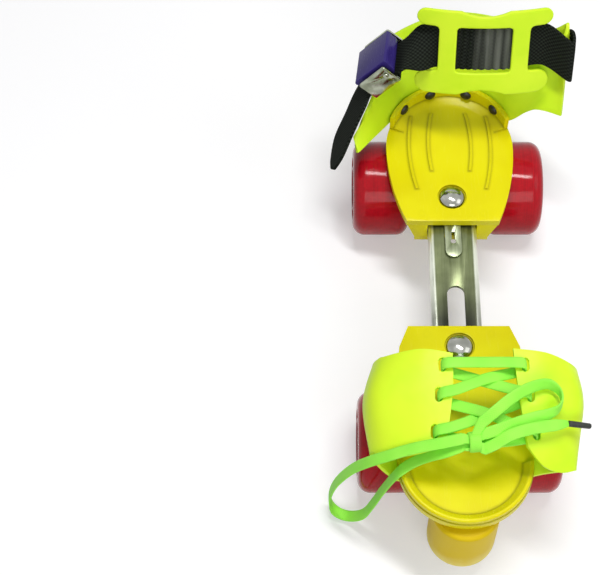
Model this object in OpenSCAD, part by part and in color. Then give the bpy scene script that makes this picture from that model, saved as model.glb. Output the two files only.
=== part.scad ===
// Clip-on roller skate, adjustable in length: a heel frame and a toe frame on a slotted steel bar,
// four free wheels, a soft heel cup with an ankle strap, and a laced vamp over the toes.
// The toe points to -Y, the heel to +Y, and the floor is z = 0.

/* [Wheels] */
// Tread diameter of a wheel
wheel_d = 54; // [48:1:58]
// Width of a wheel
wheel_w = 32; // [28:1:36]
// Distance between the outer faces of the two wheels on an axle
wheel_span = 108; // [104:1:116]
// Radius of the rounded tread edge
wheel_edge_r = 7; // [4:0.5:8]
// Distance between the axles with the skate drawn out
wheelbase = 162; // [156:1:170]

/* [Bearings and axles] */
// Outer diameter of a ball bearing
bearing_d = 22; // [19:1:24]
// Width of a ball bearing
bearing_w = 7; // [6:0.5:8]
// Diameter of an axle
axle_d = 8; // [6:1:8]
// Width across the flats of the axle and clamp nuts
nut_af = 13; // [12:0.5:14]

/* [Plates] */
// Thickness of the two foot plates
plate_t = 4.5; // [3.5:0.5:6]
// Widest width of the heel plate
heel_w = 71.5; // [66:0.5:76]
// Width of the heel plate at its straight front edge
heel_front_w = 51; // [48:1:56]
// Distance from the rear axle to the front edge of the heel plate
heel_front = 44; // [40:1:47]
// Height of the turned-up rim behind the heel
heel_rim_h = 10; // [8:0.5:14]
// Width of the toe plate at its straight rear edge
toe_rear_w = 54; // [50:1:58]
// Width of the toe plate across the toes
toe_w = 70; // [66:1:74]
// Distance from the front axle to the rear edge of the toe plate
toe_rear = 52; // [49:1:56]
// Height of the rim round the toe
toe_rim_h = 4; // [2:0.5:6]

/* [Length adjustment] */
// Width of the slotted steel bar
bar_w = 26.6; // [24:0.2:28]
// Sheet thickness of the bar
bar_t = 2; // [1.5:0.25:2.5]
// Depth of the folded edges of the bar
bar_flange = 6.3; // [5:0.1:7]
// Travel of the bar into the heel frame
bar_travel = 22; // [16:1:24]
// Travel of the toe frame along the bar
toe_travel = 30; // [20:1:32]
// Diameter of the two clamp bolts
bolt_d = 8; // [6:0.5:8]
// Diameter of the domed bolt heads
bolt_head_d = 14.5; // [13:0.5:16]
// Play of the bar in its tunnels
bar_play = 0.4; // [0.3:0.05:0.8]

/* [Toe stop] */
// Diameter of the toe stop
stop_d = 36; // [30:1:38]
// Height of the toe stop above the floor
stop_lift = 12; // [8:1:16]

/* [Soft parts] */
// Thickness of the heel cup and vamp sheet
sheet_t = 1.8; // [1.2:0.1:2.4]
// Width of the ankle strap
strap_w = 25; // [20:1:28]
// Thickness of the ankle strap
strap_t = 1.6; // [1.2:0.1:2]
// Width of the flat lace
lace_w = 6; // [4:0.5:7]
// Thickness of the flat lace
lace_t = 1.4; // [1:0.1:2]

/* [Hidden] */
$fn = 64;

// Heights, from the floor up
axle_z = wheel_d / 2;
wheel_clear = 3;
deck = wheel_d + wheel_clear;
plate_top = deck + plate_t;
tongue_t = 1;
slip = 0.3;
bar_top = deck - tongue_t - 2 * slip;
bar_bottom = bar_top - bar_t - bar_flange;
tunnel_floor = bar_bottom - slip;
truck_floor_t = 5;
truck_bottom = tunnel_floor - truck_floor_t;

// Places along the skate
rear_y = wheelbase / 2;
front_y = -wheelbase / 2;
heel_edge = rear_y - heel_front;
heel_centre = rear_y + 6;
heel_r = heel_w / 2;
toe_edge = front_y + toe_rear;
toe_centre = front_y - 27;
toe_r = toe_w / 2;
rear_bolt_y = heel_edge + 16;
front_bolt_y = toe_edge - 12;

// Wheels and bearings
wheel_in = wheel_span / 2 - wheel_w;
wheel_out = wheel_span / 2;
boss_gap = 0.3;
outer_bearing_depth = 7;
bearing_bore_gap = 0.02;
seat_gap = 0.02;
shield_gap = 0.3;
race_t = 2;
shield_t = 0.8;
race_d = axle_d + 2 * race_t;

// Bolts and screws
bolt_gap = 0.3;
slot_w = bolt_d + 1.4;
recess_d = bolt_head_d + 1.5;
recess_depth = 1.5;
dome_h = 4;
washer_t = 1.5;
washer_d = bolt_d * 2;
nut_h = 6.5;
screw_d = 3.5;
screw_head_d = 7;
screw_head_h = 2.5;
screw_bite = 3;

// Truck castings
tunnel_w = bar_w + 2 * bar_play;
truck_side_gap = 1.5;
truck_wall = wheel_in - truck_side_gap - tunnel_w / 2;
truck_w = tunnel_w + 2 * truck_wall;
cheek_w = 50;
cheek_foot_w = 39;
cheek_l = 14;
boss_d = 20;
saddle_l = 36;
screw_x = (tunnel_w + truck_wall) / 2;

function unit(v) = v / norm(v);
function mixed(a, b, f) = a + (b - a) * f;

// Smooth curve through points, n steps between each two
function curve_at(a, b, c, d, f) =
    0.5 * (2 * b + (c - a) * f + (2 * a - 5 * b + 4 * c - d) * f * f + (3 * b - a - 3 * c + d) * f * f * f);
function curve(p, n) = let (last = len(p) - 1) [
    for (i = [0 : last - 1], k = [0 : n - 1])
        curve_at(p[max(i - 1, 0)], p[i], p[i + 1], p[min(i + 2, last)], k / n),
    p[last]
];
function direction(p, i) = unit(p[min(i + 1, len(p) - 1)] - p[max(i - 1, 0)]);

// Closed skin over rings that all have the same even number of points, its ends closed by a strip across the ring
module skin(rings) {
    sides = len(rings[0]);
    end = sides * (len(rings) - 1);
    polyhedron(
        points = [for (r = rings, p = r) p],
        faces = concat(
            [for (i = [0 : sides : end - 1], k = [0 : sides - 1]) let (m = (k + 1) % sides)
                [i + k, i + sides + k, i + m]],
            [for (i = [0 : sides : end - 1], k = [0 : sides - 1]) let (m = (k + 1) % sides)
                [i + m, i + sides + k, i + sides + m]],
            [for (k = [0 : sides / 2 - 2]) [k, k + 1, sides - 1 - k]],
            [for (k = [0 : sides / 2 - 2]) [k + 1, sides - 2 - k, sides - 1 - k]],
            [for (k = [0 : sides / 2 - 2]) [end + k, end + sides - 1 - k, end + k + 1]],
            [for (k = [0 : sides / 2 - 2]) [end + k + 1, end + sides - 1 - k, end + sides - 2 - k]]
        )
    );
}

// Sheet of even thickness over a grid of points, as a skin whose rings run round each column
function sheet_normal(g, i, j) =
    let (rows = len(g[0]) - 1, columns = len(g) - 1)
    unit(cross(g[min(i + 1, columns)][j] - g[max(i - 1, 0)][j], g[i][min(j + 1, rows)] - g[i][max(j - 1, 0)]));
function sheet_rings(g, near, far) = let (rows = len(g[0]) - 1) [
    for (i = [0 : len(g) - 1]) concat(
        [for (j = [0 : rows]) g[i][j] + sheet_normal(g, i, j) * near],
        [for (j = [rows : -1 : 0]) g[i][j] + sheet_normal(g, i, j) * far]
    )
];

// Flat cord with rounded edges along a route, lying across one direction or one for each point
function ribbon_rings(p, across, w, t) = [
    for (i = [0 : len(p) - 1])
        let (a = is_list(across[0]) ? across[i] : across)
        let (d = direction(p, i), s = unit(a - d * (a * d)), u = cross(d, s))
        [for (k = [0 : 7]) p[i] + s * (w / 2 * cos(45 * k + 22.5)) + u * (t / 2 * sin(45 * k + 22.5))]
];

// Hexagon nut or bolt head with its axis along Z
module hexagon(af, h) {
    cylinder(d = af / cos(30), h = h, $fn = 6);
}

// Wheel with a rounded tread, a seat for a bearing at each end and a sunk outer hub, along +X from its inner face
module wheel_body() {
    hub_r = bearing_d / 2 + seat_gap;
    core_r = bearing_d / 2 - 1.5;
    inner_seat = boss_gap + bearing_w;
    outer_seat = wheel_w - outer_bearing_depth - bearing_w;
    dish = 3;
    r = wheel_d / 2;
    e = wheel_edge_r;
    rotate([90, 0, 90])
        difference() {
            union() {
                cylinder(r = r - e, h = wheel_w);
                translate([0, 0, e])
                    cylinder(r = r, h = wheel_w - 2 * e);
                for (z = [e, wheel_w - e])
                    translate([0, 0, z])
                        rotate_extrude()
                            translate([r - e, 0])
                                circle(r = e);
            }
            translate([0, 0, -1])
                cylinder(r = core_r, h = wheel_w + 2);
            translate([0, 0, -1])
                cylinder(r = hub_r, h = inner_seat + 1);
            translate([0, 0, outer_seat])
                cylinder(r = hub_r, h = wheel_w);
            translate([0, 0, wheel_w - dish])
                difference() {
                    cylinder(r = r - e - 2, h = dish + 1);
                    translate([0, 0, -1])
                        cylinder(r = hub_r + 2, h = dish + 3);
                }
        }
}

// Outer ring of a bearing with a shield at each face, along +X
module outer_race() {
    rotate([90, 0, 90])
        rotate_extrude()
            polygon([
                [race_d / 2 + shield_gap, 0], [bearing_d / 2, 0], [bearing_d / 2, bearing_w],
                [race_d / 2 + shield_gap, bearing_w], [race_d / 2 + shield_gap, bearing_w - shield_t],
                [bearing_d / 2 - race_t, bearing_w - shield_t], [bearing_d / 2 - race_t, shield_t],
                [race_d / 2 + shield_gap, shield_t]
            ]);
}

// Both bearings of one wheel
module bearing_pair() {
    for (x = [boss_gap, wheel_w - outer_bearing_depth - bearing_w])
        translate([x, 0, 0])
            outer_race();
}

// Inner rings of the bearings and the tube between them, which the nut clamps on the axle
module bearing_sleeve() {
    rotate([90, 0, 90])
        translate([0, 0, boss_gap])
            difference() {
                cylinder(d = race_d, h = wheel_w - outer_bearing_depth - boss_gap);
                translate([0, 0, -1])
                    cylinder(d = axle_d + 2 * bearing_bore_gap, h = wheel_w);
            }
}

// Places a part at the inner face of a wheel on one side of an axle
module at_wheel(y, side) {
    translate([0, y, axle_z])
        mirror([side < 0 ? 1 : 0, 0, 0])
            translate([wheel_in, 0, 0])
                children();
}

module axle_rod(y) {
    l = 2 * wheel_out - 1;
    translate([-l / 2, y, axle_z])
        rotate([0, 90, 0])
            cylinder(d = axle_d, h = l);
}

module axle_nut_pair(y) {
    for (side = [-1, 1])
        at_wheel(y, side)
            translate([wheel_w - outer_bearing_depth + slip / 3, 0, 0])
                rotate([90, 0, 90])
                    difference() {
                        hexagon(nut_af, nut_h);
                        translate([0, 0, -1])
                            cylinder(d = axle_d + 2 * bearing_bore_gap, h = nut_h + 2);
                    }
}

// Truck: the tunnel that guides the bar, its cheeks at the open end, and the axle boss on a tapered saddle.
// toward is +1 where the open end looks to +Y and -1 where it looks to -Y.
module truck(axle_y, open_y, far_y, bolt_y, screw_ys, toward) {
    h = deck - truck_bottom;
    low = min(open_y, far_y);
    long = abs(far_y - open_y);
    difference() {
        union() {
            translate([-truck_w / 2, low, truck_bottom])
                cube([truck_w, long, h]);
            translate([0, open_y, 0])
                rotate([90, 0, 0])
                    translate([0, 0, toward > 0 ? 0 : -cheek_l])
                        linear_extrude(cheek_l)
                            polygon([
                                [-cheek_w / 2, deck], [cheek_w / 2, deck],
                                [cheek_foot_w / 2, truck_bottom], [-cheek_foot_w / 2, truck_bottom]
                            ]);
            // Saddle in three webs, one under each wall of the tunnel and one in the middle
            for (x = [-truck_w / 2, -truck_wall / 2, truck_w / 2 - truck_wall])
                translate([x, axle_y, 0])
                    rotate([90, 0, 90])
                        linear_extrude(truck_wall)
                            polygon([
                                [-saddle_l / 2, truck_bottom + 1], [saddle_l / 2, truck_bottom + 1],
                                [boss_d / 2 - 1, axle_z], [1 - boss_d / 2, axle_z]
                            ]);
            translate([-wheel_in, axle_y, axle_z])
                rotate([0, 90, 0])
                    cylinder(d = boss_d, h = 2 * wheel_in);
        }
        translate([-tunnel_w / 2, low - 1, tunnel_floor])
            cube([tunnel_w, long + 2, h]);
        translate([0, bolt_y, truck_bottom - 1])
            cylinder(d = bolt_d + 2 * bolt_gap, h = h);
        translate([-wheel_in - 1, axle_y, axle_z])
            rotate([0, 90, 0])
                cylinder(d = axle_d + 2 * bearing_bore_gap, h = 2 * wheel_in + 2);
        for (y = screw_ys, x = [-screw_x, screw_x])
            translate([x, y, truck_bottom - 1]) {
                cylinder(d = screw_d + 2 * slip, h = h + 2);
                cylinder(d = screw_head_d + 2 * slip, h = h / 2 + 1);
            }
    }
}

module truck_screws(ys) {
    seat = truck_bottom + (deck - truck_bottom) / 2;
    for (y = ys, x = [-screw_x, screw_x])
        translate([x, y, seat - screw_head_h])
            difference() {
                union() {
                    cylinder(d = screw_head_d, h = screw_head_h);
                    cylinder(d = screw_d, h = deck - seat + screw_head_h + screw_bite);
                }
                for (a = [0, 90])
                    rotate([0, 0, a])
                        translate([-2, -0.4, -1])
                            cube([4, 0.8, 2.2]);
            }
}

// Domed clamp bolt in its recess, with its shank down through the bar
module clamp_bolt(y) {
    seat = plate_top - recess_depth;
    foot = truck_bottom - washer_t - nut_h - 2;
    head_r = bolt_head_d / 2;
    ball_r = (head_r * head_r + dome_h * dome_h) / (2 * dome_h);
    translate([0, y, 0]) {
        translate([0, 0, foot])
            cylinder(d = bolt_d, h = seat - foot + 0.5);
        intersection() {
            translate([0, 0, seat + dome_h - ball_r])
                sphere(r = ball_r);
            translate([0, 0, seat])
                cylinder(d = bolt_head_d, h = dome_h + 1);
        }
    }
}

module clamp_washer(y) {
    translate([0, y, truck_bottom - washer_t])
        difference() {
            cylinder(d = washer_d, h = washer_t);
            translate([0, 0, -1])
                cylinder(d = bolt_d + 2 * bolt_gap, h = washer_t + 2);
        }
}

module clamp_nut(y) {
    translate([0, y, truck_bottom - washer_t - nut_h])
        difference() {
            hexagon(nut_af, nut_h);
            translate([0, 0, -1])
                cylinder(d = bolt_d + 2 * bearing_bore_gap, h = nut_h + 2);
        }
}

// Recess, bolt hole and screw holes that both plates share
module plate_holes(bolt_y, screw_ys) {
    translate([0, bolt_y, plate_top - recess_depth])
        cylinder(d = recess_d, h = recess_depth + 1);
    translate([0, bolt_y, deck - 1])
        cylinder(d = bolt_d + 2 * bolt_gap, h = plate_t + 2);
    for (y = screw_ys, x = [-screw_x, screw_x])
        translate([x, y, deck - 1])
            cylinder(d = screw_d + 2 * bearing_bore_gap, h = screw_bite + 1.2);
}

// Heel plate
side_drop = (heel_w - heel_front_w) / 2;
side_run = heel_centre - heel_edge;
side_r = (side_run * side_run + side_drop * side_drop) / (2 * side_drop);
rim_turn = 70;
rim_t = 2.6;
rear_screws = [heel_edge + 5, heel_centre + 26];
rear_truck_end = heel_centre + 31;
rivet_turns = [-50, -18, 18, 50];
rivet_d = 3;
rivet_head_d = 6.5;
rivet_head_h = 1.6;
rivet_bite = 3;
rivet_z = plate_top + heel_rim_h * 0.55;

module heel_outline() {
    intersection() {
        translate([side_r - heel_r, heel_centre])
            circle(r = side_r, $fn = 200);
        translate([heel_r - side_r, heel_centre])
            circle(r = side_r, $fn = 200);
        translate([-heel_r, heel_edge])
            square([heel_w, side_run]);
    }
    translate([0, heel_centre])
        circle(r = heel_r, $fn = 120);
}

// Raised rib that runs beside the curved edge of the heel plate
module heel_rib(inset, from, to) {
    rib_w = 1.4;
    rib_h = 0.9;
    r = side_r - inset;
    for (side = [-1, 1])
        intersection() {
            translate([side * (heel_r - side_r), heel_centre, plate_top - 1])
                difference() {
                    cylinder(r = r, h = rib_h + 1, $fn = 200);
                    translate([0, 0, -1])
                        cylinder(r = r - rib_w, h = rib_h + 3, $fn = 200);
                }
            translate([side > 0 ? 0 : -heel_r, from, plate_top - 2])
                cube([heel_r, to - from, 6]);
        }
}

module heel_plate() {
    color("gold")
        difference() {
            union() {
                translate([0, 0, deck])
                    linear_extrude(plate_t)
                        heel_outline();
                translate([0, heel_centre, plate_top])
                    rotate([0, 0, 90 - rim_turn])
                        rotate_extrude(angle = 2 * rim_turn, $fn = 120)
                            polygon([
                                [heel_r - 8, -1], [heel_r - 8, 0], [heel_r - rim_t, 1.8],
                                [heel_r - rim_t, heel_rim_h], [heel_r, heel_rim_h], [heel_r, 0], [heel_r - 1, -1]
                            ]);
                heel_rib(12, heel_edge + 21, heel_centre + 20);
                heel_rib(23, heel_edge + 33, heel_centre + 22);
            }
            plate_holes(rear_bolt_y, rear_screws);
            for (a = rivet_turns)
                rivet_bore(a);
        }
}

module rivet_bore(a) {
    translate([0, heel_centre, rivet_z])
        rotate([0, 0, a])
            rotate([-90, 0, 0])
                cylinder(d = rivet_d + 2 * bearing_bore_gap, h = heel_r + 10);
}

// Blind rivets through the rim and the heel cup, heads inside
module heel_rivets() {
    color("black")
        for (a = rivet_turns)
            translate([0, heel_centre, rivet_z])
                rotate([0, 0, a])
                    rotate([-90, 0, 0]) {
                        translate([0, 0, heel_r - rim_t - rivet_head_h - slip])
                            cylinder(d1 = rivet_head_d - 2, d2 = rivet_head_d, h = rivet_head_h);
                        translate([0, 0, heel_r - rim_t - 1])
                            cylinder(d = rivet_d, h = rim_t + cup_gap + sheet_t + 2);
                        translate([0, 0, heel_r + cup_gap + sheet_t + 1])
                            cylinder(d1 = rivet_head_d, d2 = rivet_head_d - 2, h = rivet_head_h);
                    }
}

module rear_truck() {
    color("gold")
        truck(rear_y, heel_edge, rear_truck_end, rear_bolt_y, rear_screws, -1);
}

module rear_truck_screws() {
    color("silver")
        truck_screws(rear_screws);
}

module rear_axle() {
    color("silver")
        axle_rod(rear_y);
}

module rear_bearing_sleeves() {
    color("silver")
        for (side = [-1, 1])
            at_wheel(rear_y, side)
                bearing_sleeve();
}

module rear_axle_nuts() {
    color("silver")
        axle_nut_pair(rear_y);
}

module rear_bolt() {
    color("silver")
        clamp_bolt(rear_bolt_y);
}

module rear_bolt_washer() {
    color("silver")
        clamp_washer(rear_bolt_y);
}

module rear_bolt_nut() {
    color("silver")
        clamp_nut(rear_bolt_y);
}

// Steel tongue under the rear bolt that covers the rear slot of the bar
tongue_w = 9;
tongue_end = heel_edge - 20;

module guide_tongue() {
    color("silver")
        translate([0, 0, bar_top + slip])
            difference() {
                union() {
                    translate([-tongue_w / 2, tongue_end + tongue_w / 2, 0])
                        cube([tongue_w, rear_bolt_y - tongue_end - tongue_w / 2, tongue_t]);
                    translate([0, tongue_end + tongue_w / 2, 0])
                        cylinder(d = tongue_w, h = tongue_t);
                    translate([0, rear_bolt_y, 0])
                        cylinder(d = washer_d, h = tongue_t);
                }
                translate([0, rear_bolt_y, -1])
                    cylinder(d = bolt_d + 2 * bolt_gap, h = tongue_t + 2);
                translate([-0.9, heel_edge - 10, -1])
                    cube([1.8, 6, tongue_t + 2]);
                translate([0, heel_edge - 10, -1])
                    cylinder(d = 3, h = tongue_t + 2);
            }
}

// Slotted bar: a flat top with both long edges folded down
bar_back = rear_bolt_y + 17;
bar_front = front_bolt_y - 19;
bar_bend_r = 2.4;

module slot_cut(from, to) {
    translate([0, 0, bar_bottom - 1])
        linear_extrude(bar_top - bar_bottom + 2) {
            translate([-slot_w / 2, from])
                square([slot_w, to - from]);
            for (y = [from, to])
                translate([0, y])
                    circle(d = slot_w);
        }
}

module bar_section(w, top, r) {
    translate([-w / 2, bar_bottom])
        square([w, top - r - bar_bottom]);
    translate([r - w / 2, bar_bottom])
        square([w - 2 * r, top - bar_bottom]);
    for (x = [r - w / 2, w / 2 - r])
        translate([x, top - r])
            circle(r = r);
}

module slide_bar() {
    color("silver")
        difference() {
            translate([0, bar_back, 0])
                rotate([90, 0, 0])
                    linear_extrude(bar_back - bar_front)
                        difference() {
                            bar_section(bar_w, bar_top, bar_bend_r);
                            translate([bar_t - bar_w / 2, bar_bottom - 1])
                                square([bar_w - 2 * bar_t, bar_flange + 1]);
                        }
            slot_cut(rear_bolt_y - bar_travel, rear_bolt_y);
            slot_cut(front_bolt_y, front_bolt_y + toe_travel + 5.5);
        }
}

// Soft heel cup: stations from the left wing round the heel to the right wing, each from its lower edge,
// through its middle, to its upper edge, measured from the heel centre at plate height
cup_gap = 0.5;
cup_r = heel_r + cup_gap + sheet_t / 2;
function on_rim(turn, z) = [cup_r * sin(turn), cup_r * cos(turn), z];
function upright(low, high) = [low, [(3 * low.x + high.x) / 4, (3 * low.y + high.y) / 4, (low.z + high.z) / 2], high];
cup_stations = [
    [[-52.5, -11.5, 10], [-53.8, -8.4, 13.2], [-54.5, -5, 16]],
    [[-45, -1, 7.5], [-47, 3, 20], [-45.5, 7, 32]],
    upright(on_rim(-62, 1), [-40, 26, 34]),
    upright(on_rim(-36, 1), [-36, 47, 37]),
    upright(on_rim(0, 1), [0, 59.5, 45]),
    upright(on_rim(36, 1), [40, 50, 48]),
    upright(on_rim(62, 1), [54, 36, 60]),
    [[47, 13, 17], [58, 23, 42], [60, 32, 70]],
    [[61, 6, 21], [61, 20, 46], [58.5, 25.5, 66]]
];
cup_steps = 5;
cup_rows = 8;
cup_columns = [for (k = [0 : 2]) curve([for (s = cup_stations) s[k]], cup_steps)];
function off_rim(p) = let (r = norm([p.x, p.y])) r < cup_r ? [p.x * cup_r / r, p.y * cup_r / r, p.z] : p;
function cup_point(i, f) =
    let (a = cup_columns[0][i], b = cup_columns[1][i], c = cup_columns[2][i])
    [0, heel_centre, plate_top] + off_rim(a * (1 - f) * (1 - 2 * f) + b * 4 * f * (1 - f) + c * f * (2 * f - 1));
cup_last = len(cup_columns[0]) - 1;
cup_grid = [for (i = [0 : cup_last]) [for (j = [0 : cup_rows]) cup_point(i, j / cup_rows)]];

module heel_cup() {
    color("greenyellow")
        difference() {
            skin(sheet_rings(cup_grid, -sheet_t / 2, sheet_t / 2));
            for (a = rivet_turns)
                rivet_bore(a);
        }
}

// Instep pad: a curved sheet in front of the strap, leaning back over the ankle
pad_place = [15, heel_centre + 19.5, plate_top + 62];
pad_lean = 23;
pad_r = 110;
pad_w = 73;
pad_above = 23.5;
pad_below = 27.5;
window_w = 30;
pad_bar_w = 9.5;
strap_gap = 0.4;
window_h = strap_w + 2.6;
pad_up = [0, sin(pad_lean), cos(pad_lean)];
pad_out = [0, -cos(pad_lean), sin(pad_lean)];
function on_pad(x, y, r) = pad_place + [r * sin(x), 0, 0] + pad_up * y + pad_out * (r * cos(x) - pad_r);

module pad_outline() {
    for (band = [[-pad_below, -window_h / 2], [window_h / 2, pad_above]]) {
        h = band[1] - band[0];
        difference() {
            union() {
                translate([(h - pad_w) / 2, band[0]])
                    square([pad_w - h, h]);
                for (x = [(h - pad_w) / 2, (pad_w - h) / 2])
                    translate([x, band[0] + h / 2])
                        circle(d = h);
            }
            // Shallow dip in the middle of the free edge
            translate([0, band[0] < 0 ? band[0] - 27 : band[1] + 27])
                circle(r = 30, $fn = 120);
        }
    }
    for (side = [-1, 1])
        translate([side * (window_w + pad_bar_w) / 2 - pad_bar_w / 2, -window_h / 2 - 1])
            square([pad_bar_w, window_h + 2]);
}

module instep_pad() {
    color("greenyellow")
        translate(pad_place)
            rotate([90 - pad_lean, 0, 0])
                intersection() {
                    translate([0, 0, -pad_r])
                        rotate([90, 0, 0])
                            difference() {
                                cylinder(r = pad_r + sheet_t / 2, h = 120, center = true, $fn = 200);
                                cylinder(r = pad_r - sheet_t / 2, h = 122, center = true, $fn = 200);
                            }
                    translate([0, 0, -pad_r / 2])
                        linear_extrude(pad_r)
                            pad_outline();
                }
}

// Cam buckle on the left of the ankle: its own axes run along the strap, down across it, and outwards
buckle_place = [-34.3, heel_centre + 19, plate_top + 51];
buckle_turn = [13.5, 50.5, -176.1];
function turned_x(v, a) = [v.x, v.y * cos(a) - v.z * sin(a), v.y * sin(a) + v.z * cos(a)];
function turned_y(v, a) = [v.x * cos(a) + v.z * sin(a), v.y, v.z * cos(a) - v.x * sin(a)];
function turned_z(v, a) = [v.x * cos(a) - v.y * sin(a), v.x * sin(a) + v.y * cos(a), v.z];
function on_buckle(v) =
    buckle_place + turned_z(turned_y(turned_x(v, buckle_turn.x), buckle_turn.y), buckle_turn.z);
buckle_l = 20;
buckle_t = 1.2;
buckle_inner_w = strap_w + 3;
ear_back = 3.4;
ear_rise = 5.2;
ear_round = 1.5;
pin_d = 3;
pin_x = -3;
buckle_from = pin_x - ear_back;
pin_z = 5.4;
lever_l = 19.5;
lever_back = 4.8;
lever_rise = 6.3;
lever_t = 3.2;
lever_gap = 2.2;

module on_buckle_axes() {
    translate(buckle_place)
        rotate(buckle_turn)
            children();
}

// Side wall of the buckle: a rounded plate from the base up over the lever
module ear_outline(low) {
    top = pin_z + ear_rise;
    translate([buckle_from, low])
        square([buckle_l, top - ear_round - low]);
    translate([buckle_from + ear_round, low])
        square([buckle_l - 2 * ear_round, top - low]);
    for (x = [buckle_from + ear_round, buckle_from + buckle_l - ear_round])
        translate([x, top - ear_round])
            circle(r = ear_round);
}

// Steel channel whose side walls carry the pin
module buckle_base() {
    w = buckle_inner_w + 2 * buckle_t;
    under = -strap_t / 2 - slip - buckle_t;
    color("silver")
        on_buckle_axes()
            difference() {
                union() {
                    translate([buckle_from, -w / 2, under])
                        cube([buckle_l, w, buckle_t]);
                    for (y = [-w / 2, w / 2 - buckle_t])
                        translate([0, y + buckle_t, 0])
                            rotate([90, 0, 0])
                                linear_extrude(buckle_t)
                                    ear_outline(under);
                }
                translate([pin_x, w, pin_z])
                    rotate([90, 0, 0])
                        cylinder(d = pin_d + 2 * bearing_bore_gap, h = 2 * w);
            }
}

module buckle_pin() {
    w = buckle_inner_w + 2 * buckle_t + 1.6;
    color("silver")
        on_buckle_axes()
            translate([pin_x, w / 2, pin_z])
                rotate([90, 0, 0])
                    cylinder(d = pin_d, h = w);
}

// Lever seen from its side, from the pin: the cam that pinches the webbing, its shoulder and the thumb plate
module lever_outline() {
    cam_r = pin_z - strap_t / 2 - slip;
    circle(r = cam_r);
    translate([-lever_back, lever_rise - lever_t])
        square([lever_back + lever_l - lever_t / 2, lever_t]);
    translate([-cam_r, 0])
        square([2 * cam_r, lever_rise - 1]);
    translate([lever_l - lever_t / 2, lever_rise - lever_t / 2])
        circle(d = lever_t);
}

// Lever closed over the strap
module buckle_lever() {
    w = buckle_inner_w - 2 * lever_gap;
    color("rebeccapurple")
        on_buckle_axes()
            translate([pin_x, w / 2, pin_z])
                rotate([90, 0, 0])
                    linear_extrude(w)
                        difference() {
                            lever_outline();
                            circle(d = pin_d + 0.1);
                        }
}

// Ankle strap: from the buckle back along the left wing, round the cup, across behind the pad,
// through the buckle, and out as a tail. Each station is its lower and upper edge.
function strap_level(i) = mixed(0.6, 0.7, min(max((i - 15) / 15, 0), 1));
strap_off = sheet_t / 2 + strap_t / 2 + 2 * strap_gap;
strap_rows = 4;
function cup_outside(i, f) =
    let (along = cup_point(min(i + 1, cup_last), f) - cup_point(max(i - 1, 0), f),
         up = cup_point(i, f + 0.05) - cup_point(i, f - 0.05))
    cup_point(i, f) - unit(cross(along, up)) * strap_off;
function cup_station(i) =
    let (level = strap_level(i),
         reach = strap_w / 2 / norm(cup_point(i, level + 0.1) - cup_point(i, level - 0.1)) * 0.2)
    [for (k = [0 : strap_rows]) cup_outside(i, level + reach * (2 * k / strap_rows - 1))];
function across_strap(low, high) = [for (k = [0 : strap_rows]) mixed(low, high, k / strap_rows)];
function pad_station(x) =
    let (r = pad_r - sheet_t / 2 - strap_gap - strap_t / 2)
    across_strap(on_pad(x, -strap_w / 2, r), on_pad(x, strap_w / 2, r));
function buckle_station(x) = across_strap(on_buckle([x, strap_w / 2, 0]), on_buckle([x, -strap_w / 2, 0]));
function from_heel(p) = p + [0, heel_centre, plate_top];
function free_station(centre, down, share) =
    let (half = unit(down) * strap_w / 2 * share)
    across_strap(from_heel(centre + half), from_heel(centre - half));
// Twist between the pad and the buckle: middle of the strap, and the way down across it
strap_twist = [[-18.5, 22.3, 61.1], [0, -0.87, -0.49]];
// Tail below the buckle, to its narrowed tip: middle of the strap, and its share of the full width
tail_down = [0.136, -0.854, 0.5];
tail_run = [[[-50.6, 10.6, 31.5], 1], [[-56.6, 3.4, 18.5], 1], [[-62.8, -5.2, 5.6], 1], [[-66.6, -12.2, -5], 0.3]];
strap_from = 13;
strap_to = 36;
strap_steps = 3;
wing_turn = [[62.8, 12, 44.5], [62, 21, 67.5]];
strap_stations = concat(
    [cup_station(strap_to - 3), cup_station(strap_to)],
    [across_strap(from_heel(wing_turn[0]), from_heel(wing_turn[1]))],
    [for (x = [18, 9, 0, -9, -13.7]) pad_station(x)],
    [free_station(strap_twist[0], strap_twist[1], 1)],
    [for (x = [-12 : 7 : 16]) buckle_station(x)],
    [for (s = tail_run) free_station(s[0], tail_down, s[1])]
);
strap_lines = [for (k = [0 : strap_rows]) curve([for (s = strap_stations) s[k]], strap_steps)];
strap_grid = concat(
    [for (i = [strap_from : strap_to - 1]) cup_station(i)],
    [for (i = [strap_steps : len(strap_lines[0]) - 1]) [for (l = strap_lines) l[i]]]
);

module ankle_strap() {
    color("dimgray")
        skin(sheet_rings(strap_grid, -strap_t / 2, strap_t / 2));
}

// Toe plate
toe_shoulder = toe_edge - 12.5;
toe_shoulder_w = toe_w - 6;
toe_rim_turn = 88;
toe_rim_t = 3;
front_screws = [toe_edge - 5, front_y - 24];
front_truck_end = front_y - 29;
vamp_rivet_ys = [front_y + 31, front_y - 26];
vamp_rivet_gap = 1.25;
vamp_rivet_x = truck_w / 2 + rivet_head_d / 2 + vamp_rivet_gap;
stop_centre = toe_centre - 21.5;
stop_boss_d = 24;
stop_boss_h = 4;
stop_bolt_d = 8;

module toe_outline() {
    polygon([
        [-toe_rear_w / 2, toe_edge], [-toe_shoulder_w / 2, toe_shoulder], [-toe_r, toe_centre],
        [-toe_r / 2, toe_centre - toe_r / 2], [toe_r / 2, toe_centre - toe_r / 2],
        [toe_r, toe_centre], [toe_shoulder_w / 2, toe_shoulder], [toe_rear_w / 2, toe_edge]
    ]);
    intersection() {
        translate([0, toe_centre])
            circle(r = toe_r, $fn = 120);
        translate([-toe_r, toe_centre - toe_r])
            square([toe_w, toe_r]);
    }
}

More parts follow.
